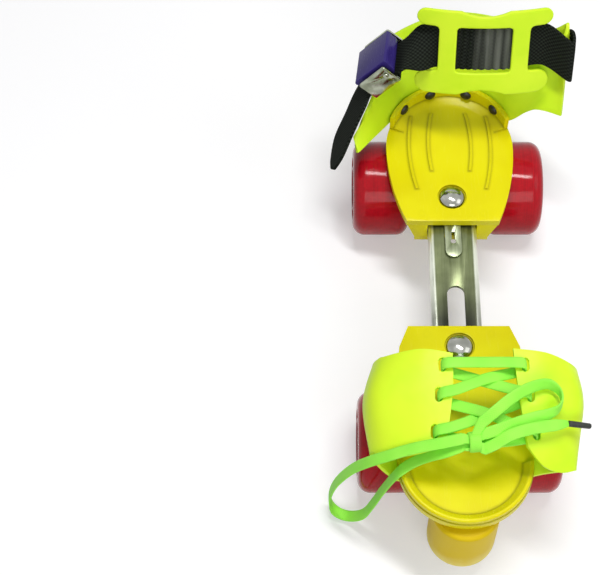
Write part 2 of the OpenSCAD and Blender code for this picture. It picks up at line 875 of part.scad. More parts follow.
module toe_plate() {
    rim_r = toe_r - 0.4;
    color("gold")
        difference() {
            union() {
                translate([0, 0, deck])
                    linear_extrude(plate_t)
                        toe_outline();
                translate([0, toe_centre, plate_top])
                    rotate([0, 0, 270 - toe_rim_turn])
                        rotate_extrude(angle = 2 * toe_rim_turn, $fn = 120)
                            polygon([
                                [toe_r - 6, -1], [toe_r - 6, 0], [toe_r - toe_rim_t, toe_rim_h - 0.8],
                                [toe_r - toe_rim_t + 0.8, toe_rim_h], [rim_r - 0.8, toe_rim_h],
                                [rim_r, toe_rim_h - 0.8], [rim_r, -1]
                            ]);
                translate([0, stop_centre, deck - stop_boss_h])
                    cylinder(d = stop_boss_d, h = stop_boss_h + 1);
            }
            plate_holes(front_bolt_y, front_screws);
            translate([0, stop_centre, deck - stop_boss_h - 1])
                cylinder(d = stop_bolt_d + 2 * bearing_bore_gap, h = stop_boss_h + 2);
            for (x = [-vamp_rivet_x, vamp_rivet_x], y = vamp_rivet_ys)
                translate([x, y, deck - 1])
                    cylinder(d = rivet_d + 2 * bearing_bore_gap, h = rivet_bite + 1.2);
        }
}

module front_truck() {
    color("gold")
        truck(front_y, toe_edge, front_truck_end, front_bolt_y, front_screws, 1);
}

module front_truck_screws() {
    color("silver")
        truck_screws(front_screws);
}

module front_axle() {
    color("silver")
        axle_rod(front_y);
}

module front_bearing_sleeves() {
    color("silver")
        for (side = [-1, 1])
            at_wheel(front_y, side)
                bearing_sleeve();
}

module front_axle_nuts() {
    color("silver")
        axle_nut_pair(front_y);
}

module front_bolt() {
    color("silver")
        clamp_bolt(front_bolt_y);
}

module front_bolt_washer() {
    color("silver")
        clamp_washer(front_bolt_y);
}

module front_bolt_nut() {
    color("silver")
        clamp_nut(front_bolt_y);
}

// Toe stop: a rounded rubber plug under the boss of the toe plate, held by a bolt from below
stop_top = deck - stop_boss_h;
stop_edge_r = 6;
stop_top_r = 2.5;
stop_sink = 10;

module toe_stop() {
    r = stop_d / 2;
    h = stop_top - stop_lift;
    color("goldenrod")
        translate([0, stop_centre, stop_lift])
            difference() {
                union() {
                    cylinder(r = r - stop_edge_r, h = h);
                    translate([0, 0, stop_edge_r])
                        cylinder(r = r, h = h - stop_edge_r - stop_top_r);
                    cylinder(r = r - stop_top_r, h = h);
                    translate([0, 0, stop_edge_r])
                        rotate_extrude()
                            translate([r - stop_edge_r, 0])
                                circle(r = stop_edge_r);
                    translate([0, 0, h - stop_top_r])
                        rotate_extrude()
                            translate([r - stop_top_r, 0])
                                circle(r = stop_top_r);
                }
                translate([0, 0, -1])
                    cylinder(d = stop_bolt_d + 2 * bolt_gap, h = h + 2);
                translate([0, 0, -1])
                    cylinder(d = nut_af + 4, h = stop_sink + 1);
            }
}

module toe_stop_bolt() {
    head_h = 5;
    foot = stop_lift + stop_sink - head_h;
    color("silver")
        translate([0, stop_centre, foot]) {
            hexagon(nut_af, head_h);
            cylinder(d = stop_bolt_d, h = deck - 1 - foot);
        }
}

// Vamp: two flaps that come out from under the toe plate, bow outwards and close over the toes.
// Each flap has a rear, a middle and a front section, from the tab under the plate to the laced edge,
// measured from the front axle at plate height.
tab_z = -plate_t - slip - sheet_t / 2;
tab_x = truck_w / 2 + 0.7;
left_sections = [
    [
        [-tab_x, 36.5, tab_z], [-32, 36.5, tab_z], [-36, 36, tab_z + 0.5], [-41.5, 31, 4], [-46, 22, 13],
        [-42, 19, 26], [-24, 19, 35.5], [-7.5, 16, 36.8]
    ],
    [
        [-tab_x, 2, tab_z], [-33, 2, tab_z], [-37, 2, tab_z + 0.5], [-47, 1, 3], [-51.6, 0, 12], [-46, -2, 25],
        [-26, -4, 31], [-8, -4, 32]
    ],
    [
        [-tab_x, -35, tab_z], [-34, -35, tab_z], [-38, -33, tab_z + 0.5], [-45, -29, 1], [-48.3, -25.5, 8],
        [-41, -31, 14], [-27, -33, 21.5], [-12, -30, 26]
    ]
];
right_sections = [
    [
        [tab_x, 36.5, tab_z], [32, 36.5, tab_z], [36, 35, tab_z + 0.5], [48, 25, 4], [57, 16, 13], [53.5, 14, 27],
        [40, 17, 35], [23, 18.5, 37]
    ],
    [
        [tab_x, 2, tab_z], [33, 2, tab_z], [37, 2, tab_z + 0.5], [50, -2, 3], [58, -6, 12], [56, -6, 24],
        [42, -5, 30], [25, -4, 32]
    ],
    [
        [tab_x, -33, tab_z], [32, -33, tab_z], [40, -31.5, tab_z + 0.5], [50, -33, 1.5], [54, -35, 7],
        [46, -38, 11], [36.6, -37.5, 18], [28.5, -30, 24.5]
    ]
];
vamp_rows = 6;
vamp_steps = 4;
function vamp_grid(sections) =
    let (lines = [for (s = sections) curve(s, vamp_steps)])
    [for (i = [0 : len(lines[0]) - 1])
        [for (p = curve([for (l = lines) l[i]], vamp_rows / 2)) p + [0, front_y, plate_top]]];

// Eyelets, from the instep to the toes: [left x, right x, y, height over the plate]
eyelets = [[-13, 29, 10, 35.6], [-15, 31, -5, 31.6], [-17.5, 33.5, -23, 26.6]];
eyelet_l = 7.2;
eyelet_w = 4;

module eyelet_cut(x, y, z) {
    translate([x - eyelet_w / 2, front_y + y - eyelet_l / 2, plate_top + z - 8])
        cube([eyelet_w, eyelet_l, 16]);
}

module vamp_flap(sections, column) {
    side = column == 0 ? -1 : 1;
    color("greenyellow")
        difference() {
            skin(sheet_rings(vamp_grid(sections), -sheet_t / 2, sheet_t / 2));
            for (e = eyelets)
                eyelet_cut(e[column], e[2], e[3]);
            for (y = vamp_rivet_ys)
                translate([side * vamp_rivet_x, y, deck - 6])
                    cylinder(d = rivet_d + 2 * bearing_bore_gap, h = 7);
        }
}

module vamp_left() {
    vamp_flap(left_sections, 0);
}

module vamp_right() {
    vamp_flap(right_sections, 1);
}

// Rivets from below through the tabs of the vamp into the toe plate
module vamp_rivets() {
    grip = sheet_t + 2 * slip;
    color("black")
        for (x = [-vamp_rivet_x, vamp_rivet_x], y = vamp_rivet_ys)
            translate([x, y, deck - grip - rivet_head_h]) {
                cylinder(d1 = rivet_head_d - 2, d2 = rivet_head_d, h = rivet_head_h);
                cylinder(d = rivet_d, h = rivet_head_h + grip + rivet_bite);
            }
}

// Lacing: a bar across the top eyelets, then two strands that cross twice and meet at the knot.
// Points of the right-hand strand; the left-hand one mirrors it about lace_x and passes under it.
lace_x = 8;
knot = [1, -111, 92];
knot_size = [8, 9, 9];
strand = [
    [8, -71, 100.2], [20, -71, 100.2], [27, -71, 99.6], [29, -71, 96.8], [27.5, -71.8, 93], [22, -73.5, 92.8],
    [8, -79, 97.2], [-6, -84, 96], [-13, -85.6, 95.6], [-15, -86, 92.6], [-13.5, -86.8, 89],
    [-8, -89, 89.2], [8, -96, 93.4], [24, -102.5, 91.7], [31.5, -103.8, 90.6], [33.5, -104, 87.4],
    [32, -104.6, 84.2]
];
strand_tails = [
    [[-8, -107, 87], [-4.6, -109, 89]],
    [[24, -107, 85.6], [14, -109, 87.4], [6, -109.5, 88.6]]
];
function under_strand(p) =
    let (crossing = p.y < lace_cross_from ? 1 : 0)
    [2 * lace_x - p.x, p.y, p.z - crossing * 2 * lace_t * exp(-pow((p.x - lace_x) / 9, 2))];
lace_cross_from = -72.5;
lace_steps = 2;

module lacing() {
    right = concat(strand, strand_tails[1]);
    left = concat([for (p = strand) under_strand(p)], strand_tails[0]);
    color("lawngreen") {
        skin(ribbon_rings(curve(right, lace_steps), [0, 1, 0], lace_w, lace_t));
        skin(ribbon_rings(curve(left, lace_steps), [0, -1, 0], lace_w, lace_t));
    }
}

module lace_knot() {
    color("lawngreen")
        translate(knot)
            intersection() {
                sphere(d = norm(knot_size) * 0.8, $fn = 40);
                cube(knot_size, center = true);
            }
}

// Free lengths of the lace, to about a millimetre
module lace_run(route, across) {
    color("lawngreen")
        skin(ribbon_rings(curve(route, 3), is_list(across[0]) ? curve(across, 3) : across, lace_w, lace_t));
}

loop_left_route = [
    [-4.2, -110.5, 94.6], [-14, -111.8, 92.4], [-25, -112.3, 88.5], [-32.8, -112.6, 84.5], [-40.2, -113.1, 80],
    [-49.2, -112.6, 72], [-57.4, -110.3, 58], [-64.4, -108.7, 40], [-67.9, -107.1, 22], [-68.4, -107.7, 10],
    [-65.3, -111.2, 4.6], [-58.4, -114, 4.4], [-51.1, -117.3, 15], [-46.3, -117.4, 30], [-41.7, -116.6, 46],
    [-35.6, -116.8, 66], [-28.5, -114.2, 73], [-20.3, -113.8, 80.5], [-12.1, -114.1, 86.5], [-4.6, -112.5, 89.8]
];

module bow_loop_left() {
    lace_run(loop_left_route, [0, 1, 0.2]);
}

loop_right_route = [
    [5, -104.1, 99.2], [11.7, -98.8, 100.8], [20.9, -91.4, 101.8], [29.8, -85.9, 101.2], [38.5, -82.9, 99.6],
    [44.1, -85.5, 98], [45.9, -90, 97], [44.2, -94.5, 96], [39.1, -97.4, 95.2], [32, -99.4, 95.4],
    [23.4, -102.3, 95.8], [14.2, -106, 96], [6.4, -108.4, 95.4]
];

// The lace lies flat along both runs of the loop and stands on edge round its turn
loop_right_across = [
    [0, 1, 0.6], [0, 1, 0.6], [0, 1, 0.6], [0, 0.9, 0.7], [0, 0.6, 0.9], [0, 0.3, 1], [0, 0.2, 1], [0, 0.3, 1],
    [0, 0.7, 0.8], [0, 1, 0.6], [0, 1, 0.6], [0, 1, 0.6], [0, 1, 0.6]
];

module bow_loop_right() {
    lace_run(loop_right_route, loop_right_across);
}

end_long_route = [
    [6.6, -114.4, 90.8], [12, -112.8, 93.2], [18.8, -109.7, 96.6], [28.7, -106.9, 97.8], [37.9, -104.6, 96.4],
    [44.4, -102.6, 94], [48.7, -101, 91.8]
];

module lace_end_long() {
    lace_run(end_long_route, [0, 1, 0.3]);
}

end_short_route = [
    [6, -108.5, 86.4], [14, -107.7, 85.2], [24, -105.7, 83.4], [33, -103, 80], [41, -99, 77]
];

module lace_end_short() {
    lace_run(end_short_route, [0, 1, 0.3]);
}

// Dark tips of the free ends
aglet_l = 13;
aglet_d = 3.2;
aglet_gap = 0.3;

module aglet(route, toward) {
    from = route[len(route) - 1];
    d = unit(toward - from);
    translate(from + d * aglet_gap)
        rotate([0, acos(d.z), atan2(d.y, d.x)])
            cylinder(d = aglet_d, h = aglet_l, $fn = 24);
}

module aglets() {
    color("black") {
        aglet(end_long_route, [63.7, -99.8, 85.4]);
        aglet(end_short_route, [50, -94, 74.5]);
    }
}

// Wheels and their bearings
module rear_left_wheel() {
    color("crimson")
        at_wheel(rear_y, -1)
            wheel_body();
}

module rear_right_wheel() {
    color("crimson")
        at_wheel(rear_y, 1)
            wheel_body();
}

module front_left_wheel() {
    color("crimson")
        at_wheel(front_y, -1)
            wheel_body();
}

module front_right_wheel() {
    color("crimson")
        at_wheel(front_y, 1)
            wheel_body();
}

module rear_left_bearings() {
    color("silver")
        at_wheel(rear_y, -1)
            bearing_pair();
}

module rear_right_bearings() {
    color("silver")
        at_wheel(rear_y, 1)
            bearing_pair();
}

module front_left_bearings() {
    color("silver")
        at_wheel(front_y, -1)
            bearing_pair();
}

module front_right_bearings() {
    color("silver")
        at_wheel(front_y, 1)
            bearing_pair();
}

heel_plate();
rear_truck();
rear_truck_screws();
rear_axle();
rear_bearing_sleeves();
rear_axle_nuts();
rear_bolt();
rear_bolt_washer();
rear_bolt_nut();
guide_tongue();
slide_bar();
heel_cup();
heel_rivets();
ankle_strap();
instep_pad();
buckle_base();
buckle_pin();
buckle_lever();
toe_plate();
front_truck();
front_truck_screws();
front_axle();
front_bearing_sleeves();
front_axle_nuts();
front_bolt();
front_bolt_washer();
front_bolt_nut();
toe_stop();
toe_stop_bolt();
vamp_left();
vamp_right();
vamp_rivets();
lacing();
lace_knot();
bow_loop_left();
bow_loop_right();
lace_end_long();
lace_end_short();
aglets();
rear_left_wheel();
rear_right_wheel();
front_left_wheel();
front_right_wheel();
rear_left_bearings();
rear_right_bearings();
front_left_bearings();
front_right_bearings();
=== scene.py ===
"""Looks of a clip-on roller skate: soft sheets, webbing, lace, wheels, metal parts and a pale studio."""
import logging
import math
from dataclasses import dataclass
from enum import Enum
from typing import Any, Callable, Optional, Sequence

import bmesh
import bpy
import numpy as np
from mathutils import Euler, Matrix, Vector
from mathutils.geometry import delaunay_2d_cdt
from mathutils.kdtree import KDTree


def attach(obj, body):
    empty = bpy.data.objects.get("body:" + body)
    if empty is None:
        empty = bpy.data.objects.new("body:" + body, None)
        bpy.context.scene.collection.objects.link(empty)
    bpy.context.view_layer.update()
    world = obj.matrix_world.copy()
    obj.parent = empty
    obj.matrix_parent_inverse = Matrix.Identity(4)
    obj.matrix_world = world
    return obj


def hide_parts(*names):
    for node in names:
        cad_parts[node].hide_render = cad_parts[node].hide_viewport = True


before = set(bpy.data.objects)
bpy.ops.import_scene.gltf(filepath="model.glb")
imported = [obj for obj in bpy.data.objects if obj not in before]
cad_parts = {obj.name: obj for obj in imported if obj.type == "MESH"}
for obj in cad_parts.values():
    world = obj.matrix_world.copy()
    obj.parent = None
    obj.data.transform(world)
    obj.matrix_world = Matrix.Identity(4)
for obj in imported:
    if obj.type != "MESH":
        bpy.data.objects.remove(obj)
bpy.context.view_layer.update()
LOG = logging.getLogger("skate")
MM = 0.001
MERGE = 2e-6  # corners nearer than this, in metres, are one
# Angles in degrees: faces flatter than FLAT_ANGLE are joined, inner corners past INNER_ANGLE get painted shade,
# edges past a BEVEL angle are rounded, and edges past a SMOOTH angle stay sharp in the shading.
FLAT_ANGLE = 0.4
INNER_ANGLE = 30
SHEET_BEVEL, SHEET_SMOOTH = 50, 60
CAST_BEVEL, CAST_SMOOTH = 28, 35
WHEEL_SMOOTH = 40
Colour = tuple[float, float, float, float]
Point = Sequence[float]
WHITE: Colour = (1, 1, 1, 1)


def srgb(red: int, green: int, blue: int) -> Colour:
    """A colour written in screen values, as linear light.

    Args:
        red: value from 0 to 255.
        green: the same.
        blue: the same.

    Returns:
        The colour.
    """
    return tuple(
        (c / 255 / 12.92 if c <= 10 else ((c / 255 + 0.055) / 1.055) ** 2.4) for c in (red, green, blue)
    ) + (1.0,)


class Body(Enum):
    """The bodies that pieces ride on."""

    HEEL = "heel_frame"
    BAR = "bar"
    TOE = "toe_frame"
    LEVER = "buckle_lever"
    REAR_LEFT = "rear_left_wheel_body"
    REAR_RIGHT = "rear_right_wheel_body"
    FRONT_LEFT = "front_left_wheel_body"
    FRONT_RIGHT = "front_right_wheel_body"


class Signal:
    """A number that runs through a node tree, with the operators of plain arithmetic."""

    def __init__(self, bench: "Bench", socket: bpy.types.NodeSocket) -> None:
        """Keeps the bench and the socket that gives the number."""
        self.bench = bench
        self.socket = socket

    def _math(self, operation: str, *values: Any) -> "Signal":
        """One Math node on the given values."""
        node = self.bench.make("ShaderNodeMath", {"operation": operation}, dict(enumerate(values)))
        return Signal(self.bench, node.outputs[0])

    def __add__(self, other: Any) -> "Signal":
        """Sum."""
        return self._math("ADD", self, other)

    __radd__ = __add__

    def __sub__(self, other: Any) -> "Signal":
        """Difference."""
        return self._math("SUBTRACT", self, other)

    def __rsub__(self, other: Any) -> "Signal":
        """Difference from a plain number."""
        return self._math("SUBTRACT", other, self)

    def __mul__(self, other: Any) -> "Signal":
        """Product."""
        return self._math("MULTIPLY", self, other)

    __rmul__ = __mul__

    def __abs__(self) -> "Signal":
        """Size without sign."""
        return self._math("ABSOLUTE", self)

    def larger(self, other: Any) -> "Signal":
        """The larger of two numbers."""
        return self._math("MAXIMUM", self, other)

    def sine(self) -> "Signal":
        """Sine of an angle in radians."""
        return self._math("SINE", self)

    def ramp(self, low: float, high: float) -> "Signal":
        """Smooth step from 0 to 1.

        Args:
            low: where it leaves 0.
            high: where it reaches 1.

        Returns:
            The step.
        """
        node = self.bench.make(
            "ShaderNodeMapRange",
            {"interpolation_type": "SMOOTHSTEP"},
            {"Value": self, "From Min": low, "From Max": high},
        )
        return Signal(self.bench, node.outputs["Result"])


class Bench:
    """Builds the nodes of one tree: of a material, the world or a geometry group."""

    def __init__(self, tree: bpy.types.NodeTree) -> None:
        """Starts on the tree, emptied."""
        self.tree = tree
        tree.nodes.clear()

    def make(
        self, kind: str, settings: Optional[dict] = None, inputs: Optional[dict] = None
    ) -> bpy.types.Node:
        """Makes any node.

        Args:
            kind: type of the node.
            settings: its own properties.
            inputs: constants, sockets or signals for its inputs, by name or place.

        Returns:
            The node.
        """
        node = self.tree.nodes.new(kind)
        for key, value in (settings or {}).items():
            setattr(node, key, value)
        for key, value in (inputs or {}).items():
            source = value.socket if isinstance(value, Signal) else value
            if isinstance(source, bpy.types.NodeSocket):
                self.tree.links.new(source, node.inputs[key])
            else:
                node.inputs[key].default_value = source
        return node

    def place(
        self, output: str = "Object", scale: Point = (1, 1, 1), turn: Point = (0, 0, 0)
    ) -> bpy.types.NodeSocket:
        """Coordinates on the piece, scaled and turned.

        Args:
            output: Object or UV.
            scale: scale on each axis.
            turn: angles in radians.

        Returns:
            The vector socket.
        """
        source = self.make("ShaderNodeTexCoord").outputs[output]
        inputs = {"Vector": source, "Scale": scale, "Rotation": turn}
        return self.make("ShaderNodeMapping", None, inputs).outputs[0]

    def split(self, vector: bpy.types.NodeSocket) -> tuple[Signal, Signal, Signal]:
        """The three parts of a vector."""
        node = self.make("ShaderNodeSeparateXYZ", None, {0: vector})
        return tuple(Signal(self, socket) for socket in node.outputs)

    def mark(self, name: str) -> Signal:
        """A number that the mesh carries as an attribute, nought where it has none."""
        return Signal(self, self.make("ShaderNodeAttribute", {"attribute_name": name}).outputs["Fac"])

    def noise(
        self, vector: bpy.types.NodeSocket, scale: float, detail: float = 3, rough: float = 0.5
    ) -> Signal:
        """Cloudy noise from 0 to 1."""
        inputs = {"Vector": vector, "Scale": scale, "Detail": detail, "Roughness": rough}
        return Signal(self, self.make("ShaderNodeTexNoise", None, inputs).outputs[0])

    def mix(self, factor: Signal, first: Any, second: Any) -> bpy.types.NodeSocket:
        """Colour between two colours."""
        node = self.make("ShaderNodeMix", {"data_type": "RGBA"}, {0: factor, 6: first, 7: second})
        return node.outputs[2]

    def bump(self, height: Signal, distance: float, strength: float = 1.0) -> bpy.types.NodeSocket:
        """Normal of a height in the given unit of depth."""
        inputs = {"Strength": strength, "Distance": distance, "Height": height}
        return self.make("ShaderNodeBump", None, inputs).outputs[0]

    def surface(self, inputs: dict) -> None:
        """Ends a material in one shader with the given inputs."""
        shader = self.make("ShaderNodeBsdfPrincipled", None, inputs)
        self.make("ShaderNodeOutputMaterial", None, {0: shader.outputs[0]})


@dataclass(frozen=True)
class Finish:
    """A finish: a name, its colour in light and in shade of its own texture."""

    name: str
    colour: Colour
    deep: Colour

    def material(self) -> bpy.types.Material:
        """Makes the material of the finish, once.

        Returns:
            The material.
        """
        made = bpy.data.materials.get(self.name)
        if made is None:
            made = bpy.data.materials.new(self.name)
            made.use_nodes = True
            self.compose(Bench(made.node_tree))
        return made

    def compose(self, bench: Bench) -> None:
        """Builds the nodes of the finish."""
        raise NotImplementedError


class SoftVinyl(Finish):
    """Soft calendered vinyl sheet, slightly wavy and waxy."""

    def compose(self, bench: Bench) -> None:
        """Clouded colour, fine skin and soft handling marks.

        Args:
            bench: makes its nodes.
        """
        place = bench.place()
        cloud = bench.noise(place, 38, 3)
        skin = bench.noise(place, 2200, 2)
        marks = bench.noise(place, 260, 4, 0.6)
        colour = bench.mix(cloud.ramp(0.3, 0.68), self.deep, self.colour)
        bench.surface({
            "Base Color": colour,
            "Roughness": 0.34 + marks * 0.2,
            "Normal": bench.bump(skin * 0.25 + marks, 0.0003, 0.25),
            "Specular IOR Level": 0.3,
        })


class MouldedPlastic(Finish):
    """Glossy injection-moulded plastic with fine scuffs."""

    def compose(self, bench: Bench) -> None:
        """Even colour with faint flow clouds, scuffs in the gloss and painted shade in the inner corners.

        Args:
            bench: makes its nodes.
        """
        place = bench.place()
        flow = bench.noise(place, 30, 2)
        scuff = bench.noise(bench.place("Object", (1, 0.12, 1), (0, 0, 0.5)), 900, 4, 0.7)
        peel = bench.noise(place, 420, 2)
        colour = bench.mix(flow.ramp(0.3, 0.7), self.deep, self.colour)
        bench.surface({
            # painted shade: the marked inner corners are darkened towards a shaded olive
            "Base Color": bench.mix(bench.mark("corner_shade") * 0.5, colour, PAINTED_CORNER_SHADE),
            "Roughness": 0.24 + scuff.ramp(0.5, 0.8) * 0.14,
            "Normal": bench.bump(peel * 0.3 + scuff * 0.15, 0.0001, 0.12),
            "Specular IOR Level": 0.14,
        })


class CastWheel(Finish):
    """Glossy cast wheel with road dust in fine rings."""

    def compose(self, bench: Bench) -> None:
        """Rings round the tread, and a slightly dull running band.

        Args:
            bench: makes its nodes.
        """
        uv = bench.place("UV")
        rings = bench.noise(bench.place("UV", (0.6, 900, 1)), 3, 3)
        dust = bench.noise(bench.place(), 320, 4, 0.65)
        along = bench.split(uv)[1]
        band = along.ramp(0.022, 0.03) * (1 - along.ramp(0.04, 0.048))
        colour = bench.mix((rings * 0.6 + dust * 0.5).ramp(0.35, 0.8), self.colour, self.deep)
        bench.surface({
            "Base Color": colour,
            "Roughness": 0.09 + band * 0.05 + dust.ramp(0.55, 0.8) * 0.1,
            "Normal": bench.bump(rings * 0.3 + dust * 0.2, 0.00008, 0.15),
            "Specular IOR Level": 0.15,
        })


class BrushedPlate(Finish):
    """Plated steel strip, drawn along its length, with painted reflections: dark towards the toe, bright on its
    bends.
    """

    def compose(self, bench: Bench) -> None:
        """Streaks along Y, painted dark reflections in tracks towards the toe and painted highlights on the
        bends.

        Args:
            bench: makes its nodes.
        """
        place = bench.place()
        side, along, _ = bench.split(place)
        lines = bench.noise(bench.place("Object", (1, 0.012, 1)), 2600, 3, 0.6)
        tracks = bench.noise(bench.place("Object", (1, 0.02, 1)), 330, 2)
        film = bench.noise(place, 55, 4, 0.6)
        plate = bench.mix((lines * 0.3 + film * 0.4 + tracks * 0.3).ramp(0.3, 0.72), self.deep, self.colour)
        # painted reflection: dark streaky tracks towards the toe end
        dark_reflection = (1 - along.ramp(-0.026, 0.014)) * (tracks * 0.7 + lines * 0.4).ramp(0.25, 0.55)
        plate = bench.mix(dark_reflection * 0.94, plate, PAINTED_DARK_REFLECTION)
        # painted highlight: bright bands along the bent edges
        bend_highlight = abs(side).ramp(0.0102, 0.0114) * (film * 0.5 + lines * 0.5).ramp(0.25, 0.5) * (1 - dark_reflection * 0.6)
        bench.surface({
            "Base Color": bench.mix(bend_highlight, plate, PAINTED_BEND_HIGHLIGHT),
            "Metallic": 1.0,
            "Roughness": 0.22 + film * 0.14 + lines * 0.08,
            "Normal": bench.bump(lines, 0.00005, 0.3),
        })


class BrightSteel(Finish):
    """Polished or zinc-bright steel with hairline scratches."""

    def compose(self, bench: Bench) -> None:
        """Mirror gloss broken by faint cloud and scratches.

        Args:
            bench: makes its nodes.
        """
        cloud = bench.noise(bench.place(), 160, 3)
        hair = bench.noise(bench.place("Object", (1, 0.1, 0.4), (0.3, 0, 0.8)), 1800, 3, 0.7)
        bench.surface({
            "Base Color": bench.mix(cloud.ramp(0.3, 0.75), self.deep, self.colour),
            "Metallic": 1.0,
            "Roughness": 0.1 + hair.ramp(0.5, 0.8) * 0.16 + cloud * 0.06,
            "Normal": bench.bump(hair, 0.00004, 0.3),
        })


class BlackLacquer(Finish):
    """Black lacquered rivet, rubbed bright on its crown."""

    def compose(self, bench: Bench) -> None:
        """Dark coat with worn specks.

        Args:
            bench: makes its nodes.
        """
        wear = bench.noise(bench.place(), 900, 4, 0.7)
        bench.surface({
            "Base Color": bench.mix(wear.ramp(0.56, 0.72), self.colour, self.deep),
            "Roughness": 0.3 + wear * 0.2,
            "Normal": bench.bump(wear, 0.0001, 0.3),
        })


class Webbing(Finish):
    """Woven nylon webbing: rows of flat yarns across, bound at the edges."""

    def compose(self, bench: Bench) -> None:
        """Plain weave from the strap's own lengthwise and crosswise measures, with a painted grey sheen where
        it is gathered.

        Args:
            bench: makes its nodes.
        """
        along, across, _ = bench.split(bench.place("UV"))
        warp = (across * (math.tau / 0.0022)).sine()
        weft = (along * (math.tau / 0.0026)).sine()
        weave = warp * weft * 0.5 + 0.5
        fuzz = bench.noise(bench.place(), 1500, 3, 0.7)
        colour = bench.mix((weave * 0.7 + fuzz * 0.5).ramp(0.35, 0.95), self.deep, self.colour)
        # painted sheen: grey streaks on the gathered folds in the middle of the window
        shine = bench.noise(bench.place("UV", (1, 0.05, 1)), 160, 2).ramp(0.35, 0.65)
        bench.surface({
            "Base Color": bench.mix(bench.mark("painted_sheen") * (0.25 + shine * 0.75), colour, PAINTED_WEB_SHEEN),
            "Roughness": 0.7 + fuzz * 0.2,
            "Normal": bench.bump(weave + fuzz * 0.3, 0.0002, 0.3),
            "Specular IOR Level": 0.02,
        })


class BraidedLace(Finish):
    """Flat braided lace: slanting yarns that meet in the middle."""

    def compose(self, bench: Bench) -> None:
        """Chevrons from the lace's own lengthwise and crosswise measures.

        Args:
            bench: makes its nodes.
        """
        along, across, _ = bench.split(bench.place("UV"))
        chevron = ((along + abs(across) * 0.8) * (math.tau / 0.0012)).sine()
        braid = (across * (math.tau / 0.0011)).sine()
        yarn = chevron * 0.3 + braid * chevron * 0.2 + 0.5
        fuzz = bench.noise(bench.place(), 1900, 3, 0.7)
        cloud = bench.noise(bench.place(), 90, 2)
        colour = bench.mix((yarn * 0.3 + fuzz * 0.3 + cloud * 0.5).ramp(0.2, 0.8), self.deep, self.colour)
        bench.surface({
            "Base Color": colour,
            "Roughness": 0.5 + fuzz * 0.2,
            "Normal": bench.bump(yarn + fuzz * 0.4, 0.0001, 0.35),
            "Specular IOR Level": 0.3,
            "Sheen Weight": 0.06,
            "Sheen Roughness": 0.5,
        })


class StopRubber(Finish):
    """Waxy cast rubber of the toe stop, with a painted pale glow towards its foot."""

    def compose(self, bench: Bench) -> None:
        """Painted pale glow towards the foot, with soft blotches.

        Args:
            bench: makes its nodes.
        """
        place = bench.place()
        height = bench.split(place)[2]
        blotch = bench.noise(place, 90, 4, 0.6)
        # painted glow: the foot is paler, standing in for light that washes it out
        shade = (height + (blotch - 0.5) * 0.014).ramp(0.01, 0.03)
        bench.surface({
            "Base Color": bench.mix(shade, self.deep, self.colour),
            "Roughness": 0.36 + blotch * 0.2,
            "Normal": bench.bump(bench.noise(place, 700, 3), 0.0002, 0.25),
            "Specular IOR Level": 0.14,
        })


# painted shade: the shaded olive laid into the mouldings' inner corners
PAINTED_CORNER_SHADE = srgb(112, 102, 6)
# painted dark reflection on the bar towards the toe
PAINTED_DARK_REFLECTION = srgb(34, 34, 32)
# painted highlight on the bar's bent edges
PAINTED_BEND_HIGHLIGHT = srgb(222, 226, 212)
# painted sheen on the strap's gathered folds in the window
PAINTED_WEB_SHEEN = srgb(104, 107, 99)
LIME = SoftVinyl("lime_vinyl_sheet", srgb(222, 253, 46), srgb(208, 247, 34))
YELLOW = MouldedPlastic("yellow_moulding", srgb(234, 224, 18), srgb(226, 213, 12))
PURPLE = MouldedPlastic("purple_lever_plastic", srgb(54, 42, 116), srgb(44, 34, 100))
CRIMSON = CastWheel("crimson_wheel", srgb(184, 20, 34), srgb(152, 18, 29))
BAR_PLATE = BrushedPlate("plated_bar_strip", srgb(138, 146, 110), srgb(86, 94, 64))
TONGUE = BrushedPlate("plated_tongue", srgb(168, 176, 148), srgb(120, 128, 100))
STEEL = BrightSteel("bright_steel", srgb(188, 193, 176), srgb(132, 138, 118))
POLISHED = BrightSteel("polished_bolt", srgb(186, 186, 180), srgb(146, 148, 140))
ZINC = BrightSteel("zinc_hardware", srgb(186, 190, 180), srgb(140, 146, 132))
RIVET = BlackLacquer("black_rivet_lacquer", srgb(18, 18, 20), srgb(70, 70, 74))
TIP = BlackLacquer("dark_lace_tip", srgb(26, 30, 24), srgb(58, 64, 54))
BLACK_WEB = Webbing("woven_black_web", srgb(45, 50, 44), srgb(22, 24, 21))
GREEN_LACE = BraidedLace("green_braided_lace", srgb(166, 250, 84), srgb(132, 238, 62))
# its second colour is the painted pale glow at the stop's foot
RUBBER = StopRubber("yellow_stop_rubber", srgb(222, 192, 10), srgb(246, 232, 140))


def unit(v: np.ndarray) -> np.ndarray:
    """Vectors of length one, along the last axis."""
    return v / np.maximum(np.linalg.norm(v, axis=-1, keepdims=True), 1e-12)


def curve(points: Sequence, steps: int) -> np.ndarray:
    """A smooth line through points.

    Args:
        points: points, or rows of points, along the line.
        steps: pieces between two neighbours.

    Returns:
        The points on the line, ends included.
    """
    p = np.asarray(points, float)
    last = len(p) - 1
    line = []
    for i in range(last):
        a, b, c, d = p[max(i - 1, 0)], p[i], p[i + 1], p[min(i + 2, last)]
        for f in np.arange(steps) / steps:
            line.append((2 * b + (c - a) * f + (2 * a - 5 * b + 4 * c - d) * f**2
                         + (3 * b - a - 3 * c + d) * f**3) / 2)
    return np.array(line + [p[last]])


def run(points: np.ndarray) -> np.ndarray:
    """Distance along a line at each of its points."""
    return np.concatenate([[0], np.cumsum(np.linalg.norm(np.diff(points, axis=0), axis=1))])


